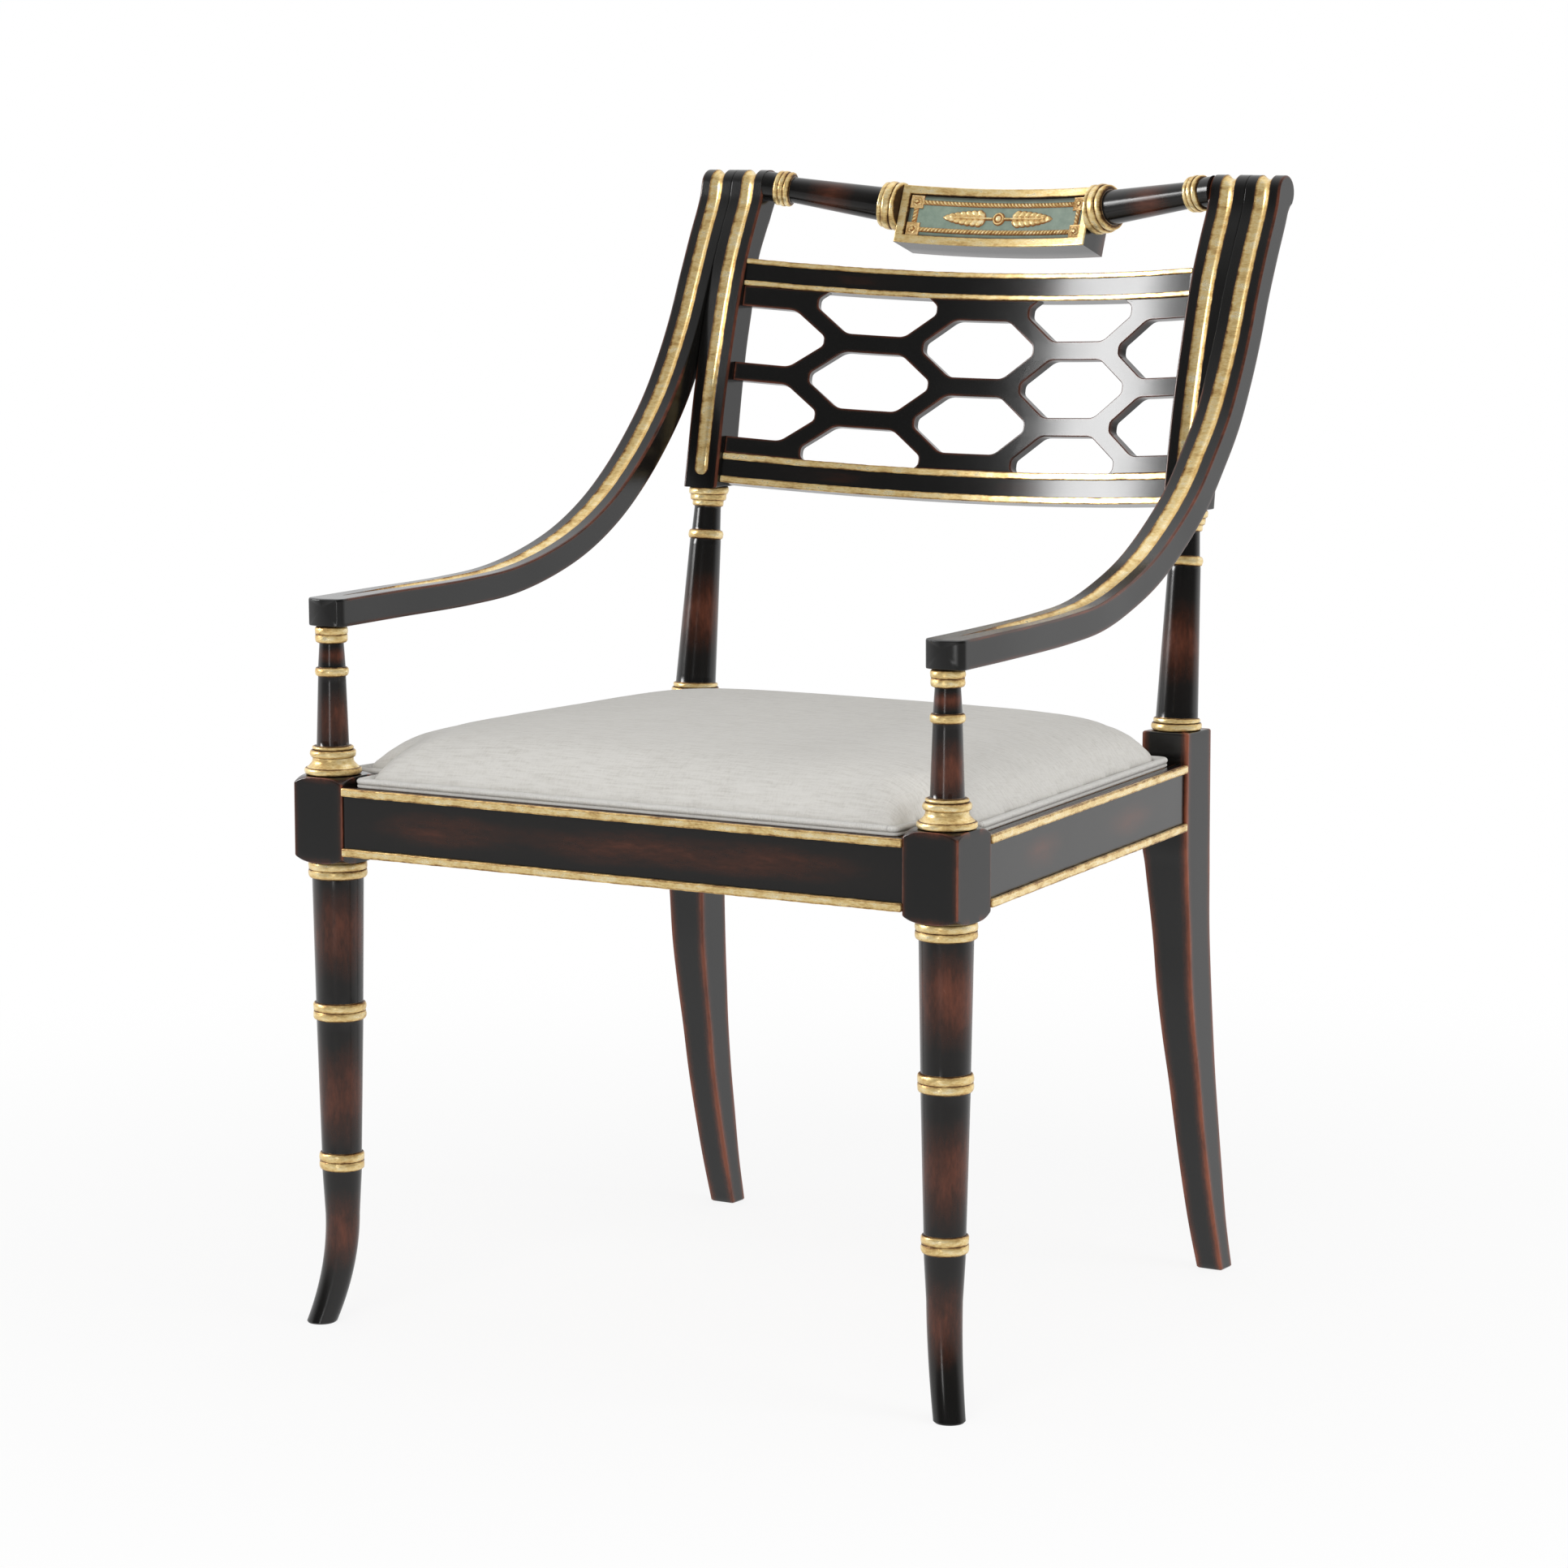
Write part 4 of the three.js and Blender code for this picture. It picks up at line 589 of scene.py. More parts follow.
def fluted_rows(path, groove, depth, meeting, pinch):
    """Rings of points round a fluted member, one for each row of the path.

    A row of the path holds the face (y, z), the rear (y, z), the middle x and the width. The
    section is a rectangle with quarter-round arrises that lies in the plane of x and the line
    from face to rear. The flute is the arc of a circle with the given half width and depth. On the
    side where the arm and the upright meet, the edge of the face is sharp and not worn from there
    up. The pinch draws the section in at the end of the member, across and from face to rear.
    """
    face, rear, middle, width = path[:, :2], path[:, 2:4], path[:, 4:5], path[:, 5]
    inward = rear - face
    thick = np.linalg.norm(inward, axis=1)
    inward = inward / thick[:, None]
    half = width / 2
    arris = FLUTE.arris
    met = smooth(face[:, 1], FLUTE.meet_low, FLUTE.meet_high)
    edges = [(arris, 1.0), (mix(arris, FLUTE.seam, met), 1 - met)]
    (left, left_rub), (right, right_rub) = edges if meeting == "right" else edges[::-1]
    zero = np.zeros(len(path))
    columns = []

    def put(across, down, gilt=0.0, hollow=0.0, rub=0.0):
        columns.append([zero + across, zero + down, zero + gilt, zero + hollow, zero + rub])

    quarter = [(1 - sin(turn), 1 - cos(turn)) for turn in np.linspace(0.0, pi / 2, 5)]

    def rim(edge, wear):
        """Off, down and rub of the points from the face over a rounded edge to the side."""
        face = [(edge + 2.8, 0.0, 0.0), (edge + 0.7, 0.0, 0.3 * wear)]
        turn = [(edge * off, edge * down, FULL_RUB * wear) for off, down in quarter]
        return face + turn + [(down, off, rub) for off, down, rub in face[::-1]]

    left_rim = rim(left, left_rub)[::-1]
    rear_rim = [(0.0, arris + 2.8, 0.0)] + [(arris * off, arris * down, 0.5) for down, off in quarter]
    rear_rim += [(arris + 2.8, 0.0, 0.0)]
    lip = 0.5 * (groove > 0.5)
    for off, down, rub in left_rim[2:]:
        put(off - half, down, rub=rub)
    put(-groove - 1.6, 0.0)
    put(-groove - 0.35, 0.0, rub=lip)
    # Painted shade darkens the flute towards its edges.
    for share in np.linspace(-1.0, 1.0, 17):
        edge = smooth(abs(share), 0.78, 1.0)
        sunk = depth * (1 - share ** 2) * (1 - 0.12 * share ** 2)
        put(share * groove, sunk, gilt=groove > 0.5, hollow=0.6 * edge)
    put(groove + 0.35, 0.0, rub=lip)
    put(groove + 1.6, 0.0)
    for off, down, rub in rim(right, right_rub):
        put(half - off, down, rub=rub)
    put(half, thick / 2)
    for off, down, rub in rear_rim:
        put(half - off, thick - down, rub=rub)
    put(0.0, thick)
    for off, down, rub in rear_rim[::-1]:
        put(off - half, thick - down, rub=rub)
    put(-half, thick / 2)
    for off, down, rub in left_rim[:2]:
        put(off - half, down, rub=rub)
    across, down, gilt, hollow, rub = np.array(columns).transpose(1, 2, 0)
    across = across * (1 - pinch[0] / half)[:, None]
    down = pinch[1][:, None] + down * (1 - 2 * pinch[1] / thick)[:, None]
    flat = face[:, None] + inward[:, None] * down[..., None]
    rows = np.concatenate([(middle + across)[..., None], flat], axis=-1)
    return rows, {"gilt": gilt, "hollow": hollow, "rub": rub}


def flute(spots, length, opening, deepening, seed, uneven):
    """Half width and depth of the groove along a member. It closes round before the end of the roll."""
    opening = np.maximum(opening * quarter_ellipse((length - 9.0 - spots) / 6.0), 0.01)
    depth = FLUTE.depth * smooth(spots, *deepening) * smooth(length - spots, 9.0, 20.0)
    return opening * (FLUTE.width / 2 + waver(spots, seed, uneven)), depth


def uprights(finish):
    face = through(np.vstack([upright_points(FACE_SHARES), roll_point(ROLL_START)]), 24)
    rear = through(upright_points(REAR_SHARES), 24)
    middle_and_width = ((UPRIGHT.outer + UPRIGHT.inner) / 2, UPRIGHT.outer - UPRIGHT.inner)
    path = over_roll(face, rear, np.array([middle_and_width]))
    length = travelled(path[:, :2])[-1]
    inset, setback = end_turn(1.2)
    even, close = np.arange(2.0, length, 3.0), np.arange(9.5, 22.0, 0.75)
    spots = np.unique(np.concatenate([setback, even, close, [length]]))
    path = resampled(path, spots)
    start = 11.0
    opening = quarter_ellipse((spots - start) / (FLUTE.width / 2))
    groove, depth = flute(spots, length, opening, (start, start + 9.0), 1.0, 0.1)
    pinch = np.interp(spots, setback, inset)
    rows, marks = fluted_rows(path, groove, depth, "right", (pinch, pinch * 0))
    rows[..., 2] = np.maximum(rows[..., 2], UPRIGHT.foot)
    dress_pair("fluted_upright", rows, marks, finish, "upright")


def arms(finish):
    head = upright_points(FACE_SHARES[-1])
    head_x = UPRIGHT.outer + 2 * SEAM + ARM.head_width / 2
    shares = np.array(ARM_SHARES)
    y = mix(ARM.nose_y, head[0], shares[:, 0])
    z = mix(ARM.nose_z, head[1], shares[:, 1])
    x = mix(head_x, ARM.nose_x, shares[:, 2])
    points = np.vstack([joined(y, z, x), np.append(roll_point(ROLL_START), head_x)])
    curve = through(points, 20)
    share = travelled(curve[:, :2])
    share /= share[-1]
    heading = unit(np.gradient(curve[:, :2], share, axis=0))
    thick = mix(ARM.nose_thick, ARM.head_thick, share)[:, None]
    rear = curve[:, :2] + thick * joined(heading[:, 1], -heading[:, 0])
    width = mix(ARM.nose_width, ARM.head_width, share)[:, None]
    path = over_roll(curve[:, :2], rear[:-20], np.hstack([curve[:, 2:], width]))
    length = travelled(path[:, :2])[-1]
    inset, setback = end_turn(3.6, 8)
    nose, rest = np.arange(5.0, 60.0, 1.5), np.arange(60.0, length, 3.5)
    spots = np.unique(np.concatenate([setback, nose, rest, [length]]))
    path = resampled(path, spots)
    opening = quarter_ellipse((spots - 25.0) / 4.0) * mix(0.2, 1.0, smooth(spots, 30.0, 130.0))
    groove, depth = flute(spots, length, opening, (22.0, 95.0), 2.0, 0.12)
    pinch = np.interp(spots, setback, inset)
    rows, marks = fluted_rows(path, groove, depth, "left", (pinch, pinch / 3))
    marks["rub"] = marks["rub"] * smooth(spots, 0.0, 12.0)[:, None]
    # Painted shade fills the narrow groove near the nose.
    marks["hollow"] = np.maximum(marks["hollow"], 0.8 * (1 - smooth(spots, 45.0, 130.0))[:, None])
    across = (rows[..., 0] - path[:, 4:5]) / (path[:, 5:6] / 2)
    rows[..., 1] -= ARM.nose_bow * (1 - across ** 2) * (1 - smooth(spots, 0.0, 30.0))[:, None]
    dress_pair("fluted_arm", rows, marks, finish, "arm")


# Back legs: a square section carried down the leg
def back_legs(finish):
    shares = through([
        (1, 0, 0, 0, 0), (0.828, 0, 0.2, 0, 0.02), (0.755, 0.13, 0.6, 0.04, 0.05),
        (0.625, 0.38, 1, 0.13, 0.1), (0.54, 0.48, 1, 0.18, 0.17), (0.45, 0.58, 1, 0.28, 0.26),
        (0.363, 0.69, 1, 0.4, 0.36), (0.274, 0.79, 1, 0.51, 0.49), (0.184, 0.84, 1, 0.65, 0.63),
        (0.093, 0.9, 1, 0.81, 0.78), (0, 1, 1, 1, 1),
    ], 8)
    inset, setback = end_turn(1.8)
    top = BACK_LEG.top
    height = np.concatenate([top - setback, shares[1:-1, 0] * top, [1.2, 0.0]])
    order = np.argsort(shares[:, 0])
    columns = [np.interp(height / top, shares[order, 0], shares[order, k]) for k in (1, 2, 3, 4)]
    inner, outer, front, rear = columns
    draw = np.concatenate([inset, np.zeros(len(height) - len(inset) - 1), [1.0]])
    inner = mix(BACK_BLOCK_INNER, BACK_LEG.inner, inner) + draw
    outer = mix(BACK_LEG.x + BACK_LEG.half_width, BACK_LEG.outer, outer) - draw
    front = mix(BACK_BLOCK_FRONT, BACK_LEG.front, front) + draw
    rear = mix(BACK_LEG.y + BACK_LEG.half_depth, BACK_LEG.rear, rear) - draw
    rings, marks = [], []
    for near, far, low, high, z in zip(inner, outer, front, rear, height):
        ring, mark = rounded([(near, low), (far, low), (far, high), (near, high)], BACK_LEG.arris, land=8.0)
        rings.append(np.hstack([ring, np.full((len(ring), 1), z)]))
        marks.append(mark)
    dress_pair("sabre_leg", np.array(rings), {"rub": np.array(marks)}, finish, "back_leg")


# Bars: a section of depth and height, carried along a line by a function that places its points
def finer(outline, marks, longest=7.0):
    """The same closed outline and marks, with no stretch longer than the given length."""
    following = np.roll(outline, -1, axis=0)
    lengths = np.linalg.norm(following - outline, axis=1)
    counts = np.maximum(1, np.ceil(lengths / longest)).astype(int)
    index = np.repeat(np.arange(len(outline)), counts)
    share = np.concatenate([np.arange(count) / count for count in counts])
    points = mix(outline[index], following[index], share[:, None])
    return points, mix(marks[index], np.roll(marks, -1)[index], share)


def bar_rows(place, run, corners, radius, arris=0.5, step=6.0):
    """Rings along a bar. The section's corners are rounded, and both ends are drawn in to round them."""
    section, mark = finer(*rounded(corners, radius))
    middle = (section.max(axis=0) + section.min(axis=0)) / 2
    half = (section.max(axis=0) - section.min(axis=0)) / 2
    inset, setback = end_turn(arris, 4)
    count = max(3, int((run[1] - run[0]) / step))
    inner = np.linspace(run[0] + arris + 2.0, run[1] - arris - 2.0, count)
    along = np.concatenate([run[0] + setback, inner, run[1] - setback[::-1]])
    draw = np.concatenate([inset, inner * 0, inset[::-1]])[:, None, None]
    spread = middle + (section - middle) * (1 - draw / half)
    rows = place(along[:, None], spread[..., 0], spread[..., 1])
    return rows, np.broadcast_to(mark, rows.shape[:2]), along, spread


def rectangle(front, back, low, high):
    return [(front, low), (back, low), (back, high), (front, high)]


def cross_place(along, depth, height):
    return joined(along, depth, height)


def side_x(y):
    """Outer face of the side rails."""
    slope = (RAIL.side_back - RAIL.side_front) / (BACK_BLOCK_FRONT - BLOCK_BACK)
    return RAIL.side_front + slope * (y - BLOCK_BACK)


def side_place(along, depth, height):
    return joined(side_x(along) - depth, along, height)


def on_sheet(form, x, depth, up, square=0.0):
    """Point of a bowed, raked sheet: x across, depth behind its face, up its slope.

    The bow is a parabola in x. The depth is laid off towards the back or, where square is 1,
    at right angles to the bowed face.
    """
    slope = -2 * form.bow * x / form.half_span ** 2
    stretch = np.sqrt(1 + slope ** 2)
    back = form.bow * (1 - (x / form.half_span) ** 2) + depth * mix(stretch, 1 / stretch, square)
    aside = -slope * depth / stretch * square
    lean_y = back * cos(form.rake) + up * sin(form.rake)
    lean_z = up * cos(form.rake) - back * sin(form.rake)
    return joined(x + aside, form.y + lean_y, form.z + lean_z)


def back_place(along, depth, height):
    return on_sheet(SHEET, along, depth, height)


def worn_bar(place, run, corners, radius, stops):
    """A black bar with worn arrises, its lacquer thin in patches along its middle."""
    rows, rub, along, spread = bar_rows(place, run, corners, radius)
    low, high = np.min(corners, axis=0)[1], np.max(corners, axis=0)[1]
    band = bell(spread[..., 1] - (low + high) / 2, 0.3 * (high - low))
    patches = band * np.minimum(FULL_RUB, 0.8 * worn(along[:, None], stops))
    return rows, {"rub": np.maximum(rub * 0.6, patches)}


def seat_rails(finish):
    """Rails with a rebate along the inner top edge, where the board of the seat drops in."""
    top, ledge = RAIL.top, RAIL.top - SEAT.board

    def rail(place, run, face, back, rebate, stops):
        foot = [(face, RAIL_FOOT), (back, RAIL_FOOT)]
        corners = foot + [(back, ledge), (rebate, ledge), (rebate, top), (face, top)]
        return worn_bar(place, run, corners, RAIL.arris, stops)

    front = RAIL.front_y + RAIL.recess
    stops = ((-165.0, 70.0), (0.0, 90.0), (150.0, 90.0))
    form = rail(cross_place, FRONT_RUN, front, front + RAIL.thick, SEAT.front_y + RAIL.rebate, stops)
    dress(skin("front_rail", *form), finish, "front_seat_rail")
    stops = ((-90.0, 50.0), (95.0, 60.0))
    form = rail(side_place, SIDE_RUN, RAIL.recess, RAIL.recess + RAIL.thick, RAIL.side_rebate, stops)
    dress_pair("side_rail", *form, finish, "side_seat_rail")
    back = RAIL.back_y + RAIL.thick
    stops = ((-90.0, 50.0), (60.0, 60.0))
    form = rail(cross_place, REAR_RUN, back, RAIL.back_y, SEAT.back_y - RAIL.rebate, stops)
    dress(skin("back_rail", *form), finish, "back_seat_rail")


def gilt_bar(place, run, section, radius, seed, size):
    """A gilt strip whose edges waver a little along its length."""
    def uneven(along, depth, height):
        return place(along, depth + waver(along, seed, size / 2), height + waver(along, seed + 1.0, size))

    rows, rub, _, _ = bar_rows(uneven, run, section, radius, arris=0.9, step=2.5)
    # The strip's rounded edges get painted shade.
    return rows, {"gilt": np.ones(rows.shape[:2]), "hollow": 0.35 * rub}


def mouldings(finish):
    lows = {"lower": RAIL_FOOT, "upper": RAIL.top - STRIP.height}
    for i, (level, low) in enumerate(lows.items()):
        high = low + STRIP.height
        section = rectangle(RAIL.front_y, RAIL.front_y + STRIP.thick, low, high)
        piece = skin(f"front_strip_{level}", *gilt_bar(cross_place, FRONT_RUN, section, 1.3, 3.0 + i, 0.12))
        dress(piece, finish, f"front_moulding_{level}")
        section = rectangle(0.0, STRIP.thick, low, high)
        form = gilt_bar(side_place, SIDE_RUN, section, 1.3, 5.0 + i, 0.12)
        dress_pair(f"side_strip_{level}", *form, finish, f"side_moulding_{level}", "gilded_wood")


def back_rails(finish):
    """Two bowed rails, each with a gilt bead along both edges of its face."""
    run = (-SHEET_END, SHEET_END)
    for form in BACK_RAIL_LEVELS:
        low, high = form.foot, form.foot + form.height
        section = rectangle(0.0, BACK_RAIL.thick, low, high)
        rows, marks = worn_bar(back_place, run, section, 1.2, ((-120.0, 40.0), (60.0, 50.0)))
        marks["rub"] = 0.7 * marks["rub"]
        dress(skin(f"bowed_rail_{form.name}", rows, marks), finish, f"{form.name}_back_rail")
        edges = (("bottom", low - 0.1), ("top", high - form.bead + 0.1))
        for i, (edge, foot) in enumerate(edges):
            section = rectangle(-BACK_RAIL.proud, 1.0, foot, foot + form.bead)
            piece = skin(f"bead_{form.name}_{edge}", *gilt_bar(back_place, run, section, 1.2, low + i, 0.14))
            dress(piece, finish, f"{form.name}_back_rail_bead_{edge}")


# Lattice
def hexagon(column, row):
    """A long hexagon with blunt ends and rounded corners, in x and up the slope of the sheet."""
    form = LATTICE
    quarter = [(form.half_width, form.blunt), (form.half_flat, form.half_height)]
    half = quarter + [(-x, y) for x, y in quarter[::-1]]
    corners = np.array(half + [(x, -y) for x, y in half[::-1]])
    corners += (column * form.pitch, form.middle + row * form.rise)
    outline, _ = rounded(corners, 5.0, land=0.4, steps=7)
    return outline


def lattice_loops():
    """The outer edge of the plate with the notches of the hexagons that it cuts, and the whole holes."""
    end, low, high = SHEET_END, LATTICE.low, LATTICE.high
    limit = np.array([[-end, low], [end, high]])
    holes, notches = [], []
    for column in range(-2, 3):
        for row in (-0.5, 0.5) if column % 2 == 0 else (-1, 0, 1):
            outline = hexagon(column, row)
            inside = ((outline > limit[0]) & (outline < limit[1])).all(axis=1)
            if inside.all():
                holes.append(outline[::-1])
                continue
            first = int(np.flatnonzero(inside & ~np.roll(inside, 1))[0])
            order = np.roll(np.arange(len(outline)), 1 - first)[:inside.sum() + 2]
            stretch = outline[order]
            before, after = stretch[0].copy(), stretch[-1].copy()
            axis = 0 if abs(column) == 2 else 1
            for spot, next_spot in ((before, stretch[1]), (after, stretch[-2])):
                edge = np.clip(spot[axis], *limit[:, axis])
                share = (edge - spot[axis]) / (next_spot[axis] - spot[axis])
                spot[:] = mix(spot, next_spot, share)
            notches.append(np.vstack([before, stretch[1:-1], after])[::-1])
    corners = [np.array([corner]) for corner in ((-end, low), (end, low), (end, high), (-end, high))]
    middle = np.array([0.0, (low + high) / 2])
    pieces = corners + notches
    turn = [np.arctan2(*((piece.mean(axis=0) - middle) / (end, high - middle[1]))[::-1]) for piece in pieces]
    outer = np.vstack([pieces[i] for i in np.argsort(turn)])
    return [outer] + holes


def inset_loop(loop, distance):
    """A closed loop moved to its left by a distance, with mitred corners."""
    edge = unit(np.roll(loop, -1, axis=0) - loop)
    normal = joined(-edge[:, 1], edge[:, 0])
    mitre = normal + np.roll(normal, 1, axis=0)
    length = np.maximum((mitre ** 2).sum(axis=1), 0.8)[:, None]
    return loop + distance * 2 * mitre / length


def lattice(finish):
    """A plate pierced by hexagons: tessellated faces, walls between them, and rounded arrises.

    The flat shape is cut into narrow strips along x, so that it can follow the bow of the sheet.
    """
    arris = LATTICE.arris
    inset, setback = end_turn(arris)
    insets = np.concatenate([[arris + 2.6, arris + 0.7], inset])
    depths = np.concatenate([[0.0, 0.0], setback])
    marks = [0.0, 0.35] + [0.6] * len(inset)
    levels = list(zip(insets, depths)) + list(zip(insets[::-1], LATTICE.thick - depths[::-1]))
    shape = bmesh.new()
    rub_layer = shape.verts.layers.float.new("rub")
    faces_front, faces_back = [], []
    for loop in lattice_loops():
        rings = []
        for inset, depth in levels:
            rings.append([shape.verts.new((x, depth, up)) for x, up in inset_loop(loop, inset)])
        for ring, mark in zip(rings, marks):
            for vert in ring:
                vert[rub_layer] = mark
        for ring, following in zip(rings, rings[1:]):
            for i in range(len(ring)):
                j = (i + 1) % len(ring)
                shape.faces.new((ring[i], ring[j], following[j], following[i]))
        faces_front.append(rings[0])
        faces_back.append(rings[-1])
    for rings, turned in ((faces_front, False), (faces_back, True)):
        flat = [[(vert.co.x, vert.co.z, 0.0) for vert in ring] for ring in rings]
        verts = sum(rings, [])
        for a, b, c in tessellate_polygon(flat):
            corners = (verts[a], verts[b], verts[c])
            shape.faces.new(corners[::-1] if turned else corners)
    for x in np.arange(-SHEET_END, SHEET_END, 6.0)[1:]:
        cut = {"plane_co": (x, 0.0, 0.0), "plane_no": (1.0, 0.0, 0.0), "dist": 1e-4}
        bmesh.ops.bisect_plane(shape, geom=shape.verts[:] + shape.edges[:] + shape.faces[:], **cut)
    clean(shape, 0.02)
    bmesh.ops.recalc_face_normals(shape, faces=shape.faces)
    x, depth, up = np.array([vert.co for vert in shape.verts]).T
    square = 1 - smooth(np.abs(x), 196.0, SHEET_END)
    for vert, place in zip(shape.verts, row_frame(on_sheet(SHEET, x, depth, up, square)).tolist()):
        vert.co = place
    piece = shaded_piece("pierced_lattice", bpy.data.meshes.new("pierced_lattice"), shape)
    weighted = piece.modifiers.new("flat_faces", "WEIGHTED_NORMAL")
    weighted.weight = 100
    weighted.keep_sharp = True
    dress(piece, finish, "lattice")


# Crest
def tablet(finish):
    """The tablet as rectangles one inside the other, from the back over the edge to the sunk floor.

    A stage holds its inset from the edge, its depth behind the face, its gilt, and its painted shade or,
    without gilt, its wear. The painted shade darkens the gilt border's inner edge and the walls of the
    recess.
    The top and underside are cut a little flatter than square to the face.
    """
    form = TABLET
    arris, border, middle = form.arris, form.border, form.height / 2
    inset, setback = end_turn(arris)
    sill = border - 0.5
    stages = [(step, form.thick, 0.0, 0.0) for step in np.linspace(middle, 3.0, 9)]
    stages += [(step, form.thick - into, 0.0, 0.6) for step, into in zip(inset, setback)]
    stages += [(0.0, form.thick / 2, 0.0, 0.0), (0.0, arris + 2.2, 0.0, 0.0), (0.0, arris + 0.4, 0.0, 0.3)]
    stages += [(step, into, 1.0, 0.0) for step, into in zip(inset[::-1], setback[::-1])]
    stages += [(arris + 0.6, 0.0, 1.0, 0.0), (sill - 0.6, 0.0, 1.0, 0.0), (sill, 0.0, 1.0, 0.3)]
    stages += [(border, 0.5, 1.0, 0.8), (border, form.recess * 0.5, 0.6, 1.0)]
    stages += [(border, form.recess, 0.0, 1.0), (middle, form.recess, 0.0, 0.0)]
    long = np.linspace(-1.0, 1.0, 46, endpoint=False)
    short = np.linspace(-1.0, 1.0, 12, endpoint=False)
    corner_x = np.concatenate([long, 1 + 0 * short, -long, -1 + 0 * short])
    corner_up = np.concatenate([-1 + 0 * long, short, 1 + 0 * long, -short])
    rows = []
    for step, depth, _, _ in stages:
        x = corner_x * (form.half_span - step)
        up = middle + corner_up * (middle - step)
        rows.append(on_sheet(form, x, depth, up + form.lift * depth))
    gilt, other = np.array(stages)[:, 2:].T[..., None]
    marks = {"gilt": gilt, "hollow": other * (gilt > 0), "rub": other * (gilt == 0)}
    dress(skin("crest_block", np.array(rows), marks, folded=True), finish, "crest_tablet")


def leaf_relief(x, up):
    """Height of the two leaf sprays at a point of the field, 0 to 1.

    Each spray has a round base and narrows to its tip, as a blunt power of the distance along it.
    Slanted ribs run out from a groove beside the stem, and the edge is cut back between two ribs.
    """
    run = (np.abs(x) - CREST.leaf_start) / CREST.leaf
    inside = (run > 0) & (run < 1)
    run = np.clip(run, 0.0, 1.0)
    slant = run * CREST.leaf - 0.5 * np.abs(up)
    lobe = np.abs(np.sin(pi * slant / CREST.leaf_rib)) ** 0.7
    body = (1 - run ** 1.9) ** 0.62 * quarter_ellipse(run / 0.14)
    half = CREST.leaf_half * body * (0.86 + 0.14 * lobe)
    reach = smooth(run * CREST.leaf, 0.0, 1.0)
    edge = np.clip(half - np.abs(up), 0.0, 1.6) / 1.6
    trough = 0.6 + 0.4 * lobe
    groove = 0.55 + 0.45 * smooth(np.abs(up), 0.9, 3.2)
    return np.where(inside, np.sqrt(edge) * trough * groove * reach, 0.0)


def crest_relief(x, up, half, low, high):
    """Carved heights of the field: rope lines, corner rosettes on square blocks, sprays and boss."""
    middle = (low + high) / 2
    off_x = np.abs(x) - (half - CREST.rope_inset)
    off_up = np.abs(up - middle) - ((high - low) / 2 - CREST.rope_inset)

    def rope(off, along):
        twist = 0.35 + 0.65 * np.abs(np.sin(pi * (along + 0.6 * off) / CREST.rope_twist))
        return half_round(off, CREST.rope / 2) * twist

    ropes = np.maximum(np.where(off_x < 0, rope(off_up, x), 0.0), np.where(off_up < 0, rope(off_x, up), 0.0))
    square = np.maximum(np.abs(off_x), np.abs(off_up))
    block = 0.28 + 0.25 * smooth(square, CREST.rosette - 1.2, CREST.rosette)
    away = np.hypot(off_x, off_up)
    petals = 0.78 + 0.22 * np.cos(4 * np.arctan2(off_up, off_x) + away)
    flower = half_round(away, CREST.rosette * 0.9) * petals
    flower = np.where(away < 1.5, 1.0, np.where(away < 2.1, 0.4, flower))
    run = (np.abs(x) - CREST.leaf_start) / CREST.leaf
    stem = half_round(up - middle, 1.2) * (run < 0.8) * (1.05 - 0.3 * np.clip(run, 0.0, 1.0))
    ground = np.where(square < CREST.rosette + 0.6, block, ropes)
    level = np.maximum.reduce([ground, flower, leaf_relief(x, up - middle), stem])
    away = np.hypot(x, up - middle)
    boss = np.maximum(0.8 * half_round(away - 4.6, 1.1), 1.15 * half_round(away, 3.3))
    return np.where(away < CREST.boss, np.maximum(0.25, boss), level)


def crest_panel(finish):
    """A sunk panel: its face is a height field, closed by a flat back, in rings along x."""
    half = TABLET.half_span - TABLET.border - SEAM
    low = TABLET.border + SEAM
    high = TABLET.height - TABLET.border - SEAM
    back = TABLET.recess - SEAM
    x = np.arange(-half, half + CREST.step / 2, CREST.step)[:, None]
    up = np.linspace(low, high, 110)[None, :]
    level = crest_relief(x, up, half, low, high)
    face = back - CREST.thick - CREST.relief * level
    rear = [on_sheet(TABLET, x, back, end) for end in (high, low)]
    rows = np.concatenate([on_sheet(TABLET, x, face, up), *rear], axis=1)
    slope = np.hypot(*np.gradient(level, CREST.step, up[0, 1] - up[0, 0]))
    edge = np.minimum(half - np.abs(x), np.minimum(high - up, up - low))
    # Painted shade on the carving's slopes and low ground, and a painted shadow along the field's edges under
    # the border.
    marks = {
        "gilt": (level > 0.02).astype(float),
        "hollow": np.clip(slope * (1 - 0.6 * level) + 0.4 * (1 - level), 0.0, 1.0),
        "rub": 1 - smooth(edge, 0.4, 4.2),
    }
    marks = {mark: np.pad(value, ((0, 0), (0, 2))) for mark, value in marks.items()}
    dress(skin("carved_panel", rows, marks), finish, "crest_panel")


